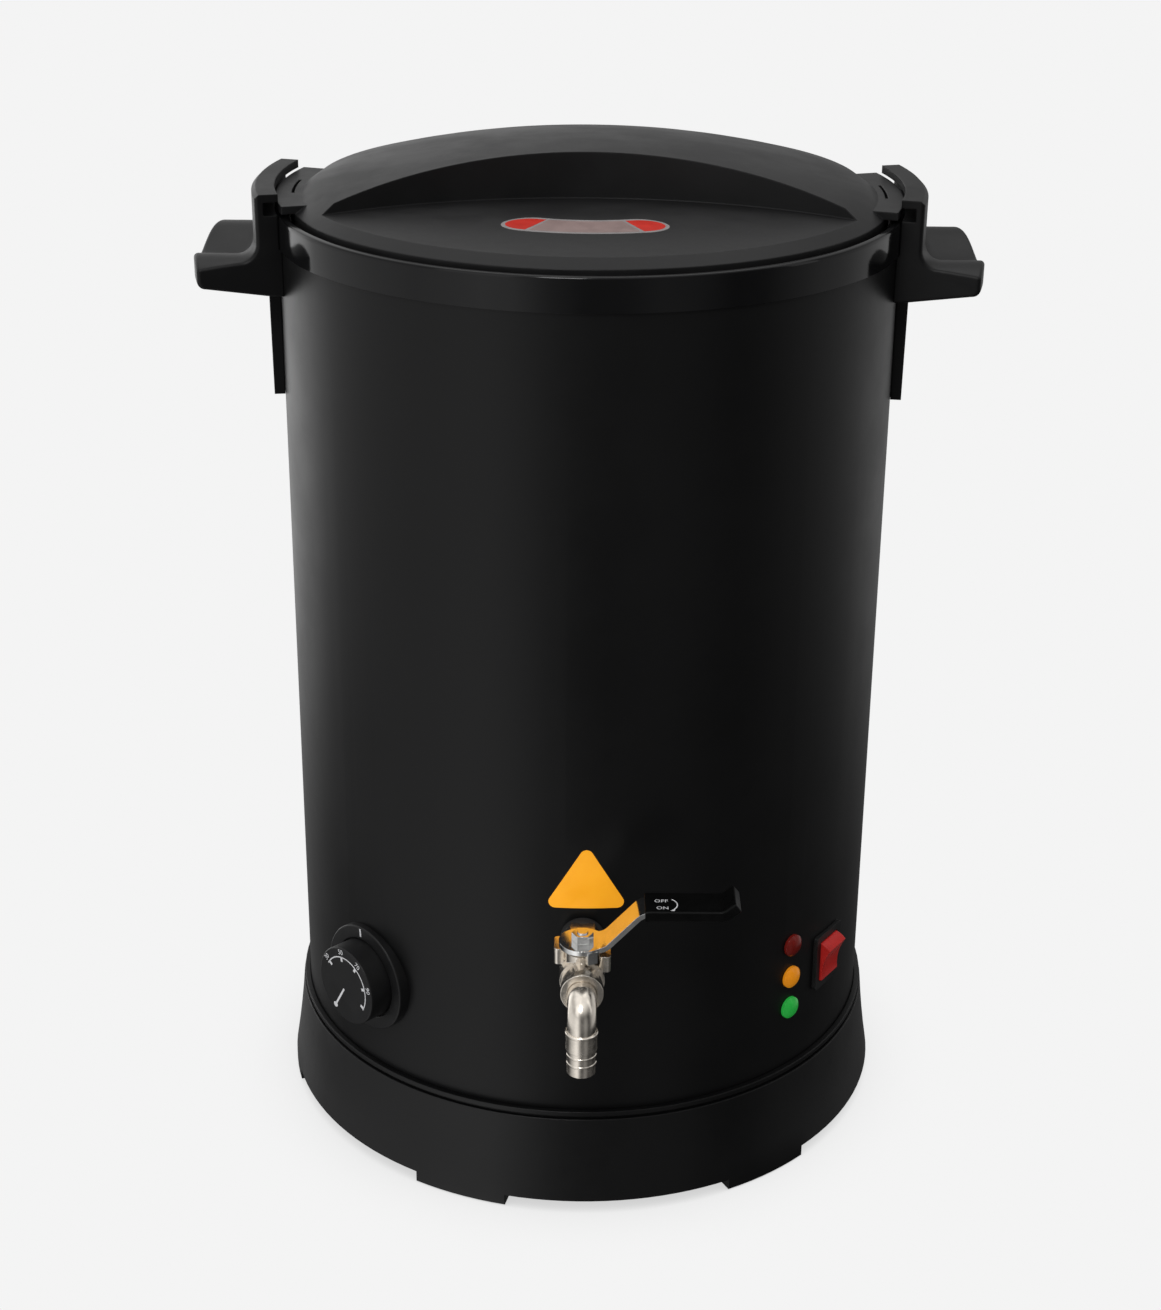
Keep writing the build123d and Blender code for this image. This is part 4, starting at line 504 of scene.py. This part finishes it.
# Softened edges of the visible hard pieces, in mm
for node, width in (
    ("lid_cover", 0.4), ("handle_left", 0.6), ("handle_right", 0.6), ("base_ring", 0.5),
    ("valve_body", 0.6), ("valve_end_cap", 0.3), ("hose_elbow", 0.15), ("packing_nut", 0.3),
    ("lever", 0.35), ("lever_nut", 0.4), ("thermostat_knob", 0.3), ("knob_bezel", 0.4),
    ("switch_housing", 0.4), ("switch_rocker", 0.3), ("power_inlet", 0.4), ("foot_pads", 0.5),
    ("lens_red", 0.2), ("lens_amber", 0.2), ("lens_green", 0.2),
):
    rounded(node, width)

# Glossy ring round the rim, with an even turned surface and a soft top edge, in mm
RING_WALL = 1.2
RING_LIP = 3.3
RING_FLOOR = 1.5
RING_EDGE_WIDTH = 1.0
RING_EDGE_HEIGHT = 2.0
EDGE_STEPS = 8
RING_STEPS = 360
ring_low, ring_high = (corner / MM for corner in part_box("rim_ring"))
ring_outer = ring_high.x
ring_bore = min(vert.co.to_2d().length for vert in NODES["rim_ring"].data.vertices) / MM
flange_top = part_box("inner_vessel")[1].z / MM
ring_profile = [(ring_outer, ring_low.z)]
for step in range(EDGE_STEPS + 1):
    angle = pi / 2 * step / EDGE_STEPS
    ring_profile.append((
        ring_outer - RING_EDGE_WIDTH * (1 - cos(angle)),
        ring_high.z - RING_EDGE_HEIGHT * (1 - sin(angle)),
    ))
ring_profile += [
    (ring_outer - RING_LIP, ring_high.z),
    (ring_outer - RING_LIP, flange_top + RING_FLOOR),
    (ring_bore, flange_top + RING_FLOOR),
    (ring_bore, flange_top),
    (ring_outer - RING_WALL, flange_top),
    (ring_outer - RING_WALL, ring_low.z),
]
ring_mesh = turned("rim_ring_turned", ring_profile, RING_STEPS)
rim = show("rim_ring_turned", ring_mesh, "pot", "rim_gloss", look("rim_ring"))
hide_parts("rim_ring")

# Print on the dial: an arc with marks, numbers and a pointer, on the knob's face, in mm and degrees
DIAL_MARKS = (144, 101, 58, 15, -28)
DIAL_NUMBERS = ("30", "50", "70", "90")
DIAL_ARC = 15.5
DIAL_LINE = 0.6
DIAL_OVERHANG = (6, -4)
MARK_LENGTH = 2.4
MARK_WIDTH = 1.5
NUMBER_HEIGHT = 2.7
NUMBER_SETBACK = 2.6
POINTER_ANGLE = -121
POINTER_REACH = (3.0, 15.8)
POINTER_WIDTH = 1.1
POINTER_DOT = 1.5
POINTER_DOT_REACH = 17.0
dial_axis = Vector(JOINTS["dial_turn"]["axis"]).normalized()
dial_height = JOINTS["dial_turn"]["pos_m"][2]
knob_frame = face_frame(dial_axis, reach_along("thermostat_knob", dial_axis), dial_height)
arc_start = DIAL_MARKS[0] + DIAL_OVERHANG[0]
arc_end = DIAL_MARKS[-1] + DIAL_OVERHANG[1]
works = [plate(arc_band(DIAL_ARC, DIAL_LINE, arc_start, arc_end), PRINT)]
for angle in DIAL_MARKS:
    mark = bar(polar(DIAL_ARC - MARK_LENGTH, angle), polar(DIAL_ARC, angle), MARK_WIDTH)
    works.append(plate(mark, PRINT))
for angle, number in zip(DIAL_MARKS, DIAL_NUMBERS):
    place = polar(DIAL_ARC + NUMBER_SETBACK, angle)
    works.append(lettering(number, NUMBER_HEIGHT, PRINT, place, radians(angle - 90)))
pointer_start, pointer_end = (polar(reach, POINTER_ANGLE) for reach in POINTER_REACH)
works.append(plate(bar(pointer_start, pointer_end, POINTER_WIDTH), PRINT))
dot_place = polar(POINTER_DOT_REACH, POINTER_ANGLE)
works.append(plate(arc_points(POINTER_DOT, 0, 345, 23, dot_place), PRINT))
dial_print = joined("dial_print", works, lambda point: knob_frame @ point)
show("dial_print", dial_print, "thermostat_dial", "control_black", PRINT_WHITE)

# Index mark on the bezel, above the knob
bezel_frame = face_frame(dial_axis, reach_along("knob_bezel", dial_axis), dial_height)
bezel_reach = (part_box("knob_bezel")[1].z - dial_height) / MM
INDEX_ANGLE = 95
INDEX_SETBACKS = (5.2, 0.9)
INDEX_WIDTH = 1.1
index_start, index_end = (polar(bezel_reach - setback, INDEX_ANGLE) for setback in INDEX_SETBACKS)
works = [plate(bar(index_start, index_end, INDEX_WIDTH), PRINT)]
index_mark = joined("index_mark", works, lambda point: bezel_frame @ point)
show("index_mark", index_mark, "pot", "control_black", PRINT_WHITE)

# Print on the lever's sleeve: both positions and an arrow that turns between them
CURL_START = 62 * MM
WORD_HEIGHT = 2.6
OFF_PLACE = (36.0, 0.8)
ON_PLACE = (36.5, -5.6)
ARROW_LINE = arc_band(6.0, 0.5, -52, 54, 24, (37.4, -2.5))
ARROW_HEAD = [(40.0, -7.9), (42.4, -6.5), (41.8, -8.3)]
sleeve_points = [vert.co for vert in NODES["lever_sleeve"].data.vertices]
SLEEVE_FLAT = max(point.z for point in sleeve_points if point.x < CURL_START)
stem_place = Vector(JOINTS["valve_turn"]["pos_m"])
works = [
    lettering("OFF", WORD_HEIGHT, PRINT, OFF_PLACE),
    lettering("ON", WORD_HEIGHT, PRINT, ON_PLACE),
    plate(ARROW_LINE, PRINT),
    plate(ARROW_HEAD, PRINT),
]
sleeve_print = joined(
    "sleeve_print", works, lambda point: Vector((point.x, stem_place.y + point.y, SLEEVE_FLAT + point.z))
)
show("sleeve_print", sleeve_print, "valve_lever", "lever_vinyl", PRINT_WHITE)

# Plain amber sticker on the shell, above the tap, in mm, with a painted glow
SHELL_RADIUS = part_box("outer_shell")[1].x
STICKER_TURN = radians(0.6)
TRIANGLE = [(-20.5, 169.2), (20.5, 169.2), (0, 203.5)]
TRIANGLE_CORNER = 3.2
triangle = rounded_outline(TRIANGLE, TRIANGLE_CORNER)
works = [plate(triangle, STICKER, range(-20, 21, 2))]


def on_shell(point):
    """Place on the shell's outside, for a point on a flat sticker."""
    angle = STICKER_TURN + point.x / SHELL_RADIUS
    radius = SHELL_RADIUS + STICKER_GAP * MM + point.z
    return Vector((radius * sin(angle), -radius * cos(angle), point.y))


show("amber_sticker", joined("amber_sticker", works, on_shell), "pot", "shell_paint", STICKER_AMBER)

# Plain bean-shaped sticker on the floor of the lid's recess, with a pale panel and red ends, in mm
BEAN_RADIUS = 82.0
BEAN_TURN = -2.0 / BEAN_RADIUS
BEAN_END = 38
BEAN_HALF = 13.5
BEAN_CORNER = 13
FIELD_HALF = 11
PANEL_ENDS = (22.5, 19.5)
PANEL_CORNER = 1.2
END_CENTRE = 25.5
END_INNER = (24, 21)
FRONT = -130 * MM
LID_FLOOR = max(vert.co.z for vert in NODES["lid_cover"].data.vertices if vert.co.y < FRONT)


def on_lid(lift):
    """Function that bends a flat sticker along an arc on the recess floor, at a lift in mm."""
    def place(point):
        angle = BEAN_TURN + point.x / (BEAN_RADIUS * MM)
        radius = BEAN_RADIUS * MM - point.y
        return Vector((radius * sin(angle), -radius * cos(angle), LID_FLOOR + lift * MM + point.z))
    return place


bean_cuts = range(1 - BEAN_END, BEAN_END, 2)
bean_corners = [
    (-BEAN_END, -BEAN_HALF), (BEAN_END, -BEAN_HALF), (BEAN_END, BEAN_HALF), (-BEAN_END, BEAN_HALF),
]
works = [plate(rounded_outline(bean_corners, BEAN_CORNER), STICKER, bean_cuts)]
show("lid_sticker", joined("lid_sticker", works, on_lid(STICKER_GAP)), "lid", "moulded_black", STICKER_GREY)
near, far = PANEL_ENDS
panel_corners = [(-near, -FIELD_HALF), (near, -FIELD_HALF), (far, FIELD_HALF), (-far, FIELD_HALF)]
works = [plate(rounded_outline(panel_corners, PANEL_CORNER), FIELD, bean_cuts)]
panel = joined("lid_sticker_panel", works, on_lid(STICKER + STICKER_GAP))
show("lid_sticker_panel", panel, "lid", "moulded_black", STICKER_PALE)
near, far = END_INNER
left_end = arc_points(FIELD_HALF, 90, 270, 20, (-END_CENTRE, 0)) + [(-near, -FIELD_HALF), (-far, FIELD_HALF)]
right_end = arc_points(FIELD_HALF, -90, 90, 20, (END_CENTRE, 0)) + [(far, FIELD_HALF), (near, -FIELD_HALF)]
works = [plate(outline, FIELD, bean_cuts) for outline in (left_end, right_end)]
ends = joined("lid_sticker_ends", works, on_lid(STICKER + STICKER_GAP))
show("lid_sticker_ends", ends, "lid", "moulded_black", STICKER_RED)

# Finish of the CAD nodes that stay as they are
for node in SLOT_OF:
    mesh = NODES[node].data
    mesh.materials.clear()
    mesh.materials.append(look(node))


# Studio

def make_floor():
    """Pale floor that only the camera sees, with a painted shadow close to the feet."""
    mesh = bpy.data.meshes.new("floor")
    half = FLOOR_HALF
    corners = [(-half, -half, 0), (half, -half, 0), (half, half, 0), (-half, half, 0)]
    mesh.from_pydata(corners, [], [(0, 1, 2, 3)])
    floor = bpy.data.objects.new("floor", mesh)
    bpy.context.scene.collection.objects.link(floor)
    floor.location.z = -FLOOR_DROP
    material = bpy.data.materials.new("floor")
    material.use_nodes = True
    tree = material.node_tree
    tree.nodes.clear()
    reach = {"Distance": FLOOR_SHADE_REACH}
    # Painted shadow: ambient occlusion dims the emitting floor near the feet
    shade = put(tree, "ShaderNodeAmbientOcclusion", reach, samples=12).outputs["AO"]
    glow = ranged(tree, shade, 0.0, FLOOR_OPEN, FLOOR_SHADE * BACKDROP, BACKDROP)
    light = put(tree, "ShaderNodeEmission", {"Strength": glow})
    output = put(tree, "ShaderNodeOutputMaterial")
    tree.links.new(light.outputs["Emission"], output.inputs["Surface"])
    mesh.materials.append(material)
    floor.visible_glossy = False
    floor.visible_diffuse = False
    floor.visible_shadow = False
    floor.visible_transmission = False


def make_world():
    """Pale backdrop for the camera, and a studio of soft light for everything else."""
    world = bpy.data.worlds.new("studio")
    bpy.context.scene.world = world
    world.use_nodes = True
    tree = world.node_tree
    tree.nodes.clear()
    direction = put(tree, "ShaderNodeTexCoord").outputs["Generated"]
    parts = put(tree, "ShaderNodeSeparateXYZ", {"Vector": direction}).outputs
    front = put(tree, "ShaderNodeMath", {0: parts["Y"], 1: -1.0}, operation="MULTIPLY").outputs["Value"]
    turn = put(tree, "ShaderNodeMath", {0: parts["X"], 1: front}, operation="ARCTAN2").outputs["Value"]
    share = put(tree, "ShaderNodeMath", {0: turn, 1: 1 / (2 * pi), 2: 0.5}, operation="MULTIPLY_ADD")
    bands = []
    for lights in (WALL_LOW, WALL_LIGHT):
        stops = [(0.5 + azimuth / 360, (light, light, light)) for azimuth, light in lights]
        bands.append(ramp(tree, share.outputs["Value"], stops))
    wall = mixed(tree, ranged(tree, parts["Z"], *LOW_RISE), *bands)
    fade = ranged(tree, parts["Z"], *WALL_FADE)
    sky = ranged(tree, parts["Z"], *SKY_RISE)
    walls = put(tree, "ShaderNodeMath", {0: wall, 1: fade, 2: sky}, operation="MULTIPLY_ADD")
    studio = put(tree, "ShaderNodeBackground", {"Strength": walls.outputs["Value"]})
    pale = put(tree, "ShaderNodeBackground", {"Strength": BACKDROP})
    for light in (studio, pale):
        light.inputs["Color"].default_value = (1, 1, 1, 1)
    seen = put(tree, "ShaderNodeLightPath").outputs["Is Camera Ray"]
    mix = put(tree, "ShaderNodeMixShader", {0: seen})
    tree.links.new(studio.outputs["Background"], mix.inputs[1])
    tree.links.new(pale.outputs["Background"], mix.inputs[2])
    output = put(tree, "ShaderNodeOutputWorld")
    tree.links.new(mix.outputs["Shader"], output.inputs["Surface"])


def softbox(name, place, aim, width, height, energy):
    """Rectangular soft light that points at a place."""
    data = bpy.data.lights.new(name, "AREA")
    data.shape = "RECTANGLE"
    data.size = width
    data.size_y = height
    data.energy = energy
    made = bpy.data.objects.new(name, data)
    made.location = place
    made.rotation_euler = (Vector(aim) - Vector(place)).to_track_quat("-Z", "Y").to_euler()
    bpy.context.scene.collection.objects.link(made)


def make_camera():
    """Camera fitted to the photo."""
    data = bpy.data.cameras.new("camera")
    data.sensor_width = SENSOR
    data.lens = FOCAL_PIXELS / PHOTO[1] * SENSOR
    data.shift_x = (PHOTO[0] / 2 - CENTRE_PIXEL) / PHOTO[1]
    camera = bpy.data.objects.new("camera", data)
    tilt = Euler((pi / 2 - CAMERA_PITCH, 0, 0)).to_matrix().to_4x4()
    camera.matrix_world = Matrix.Translation(CAMERA_PLACE) @ tilt @ Matrix.Rotation(CAMERA_ROLL, 4, "Z")
    bpy.context.scene.collection.objects.link(camera)
    bpy.context.scene.camera = camera


make_floor()
make_world()
for light in SOFTBOXES:
    softbox(*light)
make_camera()
bpy.context.scene.view_settings.view_transform = "Standard"
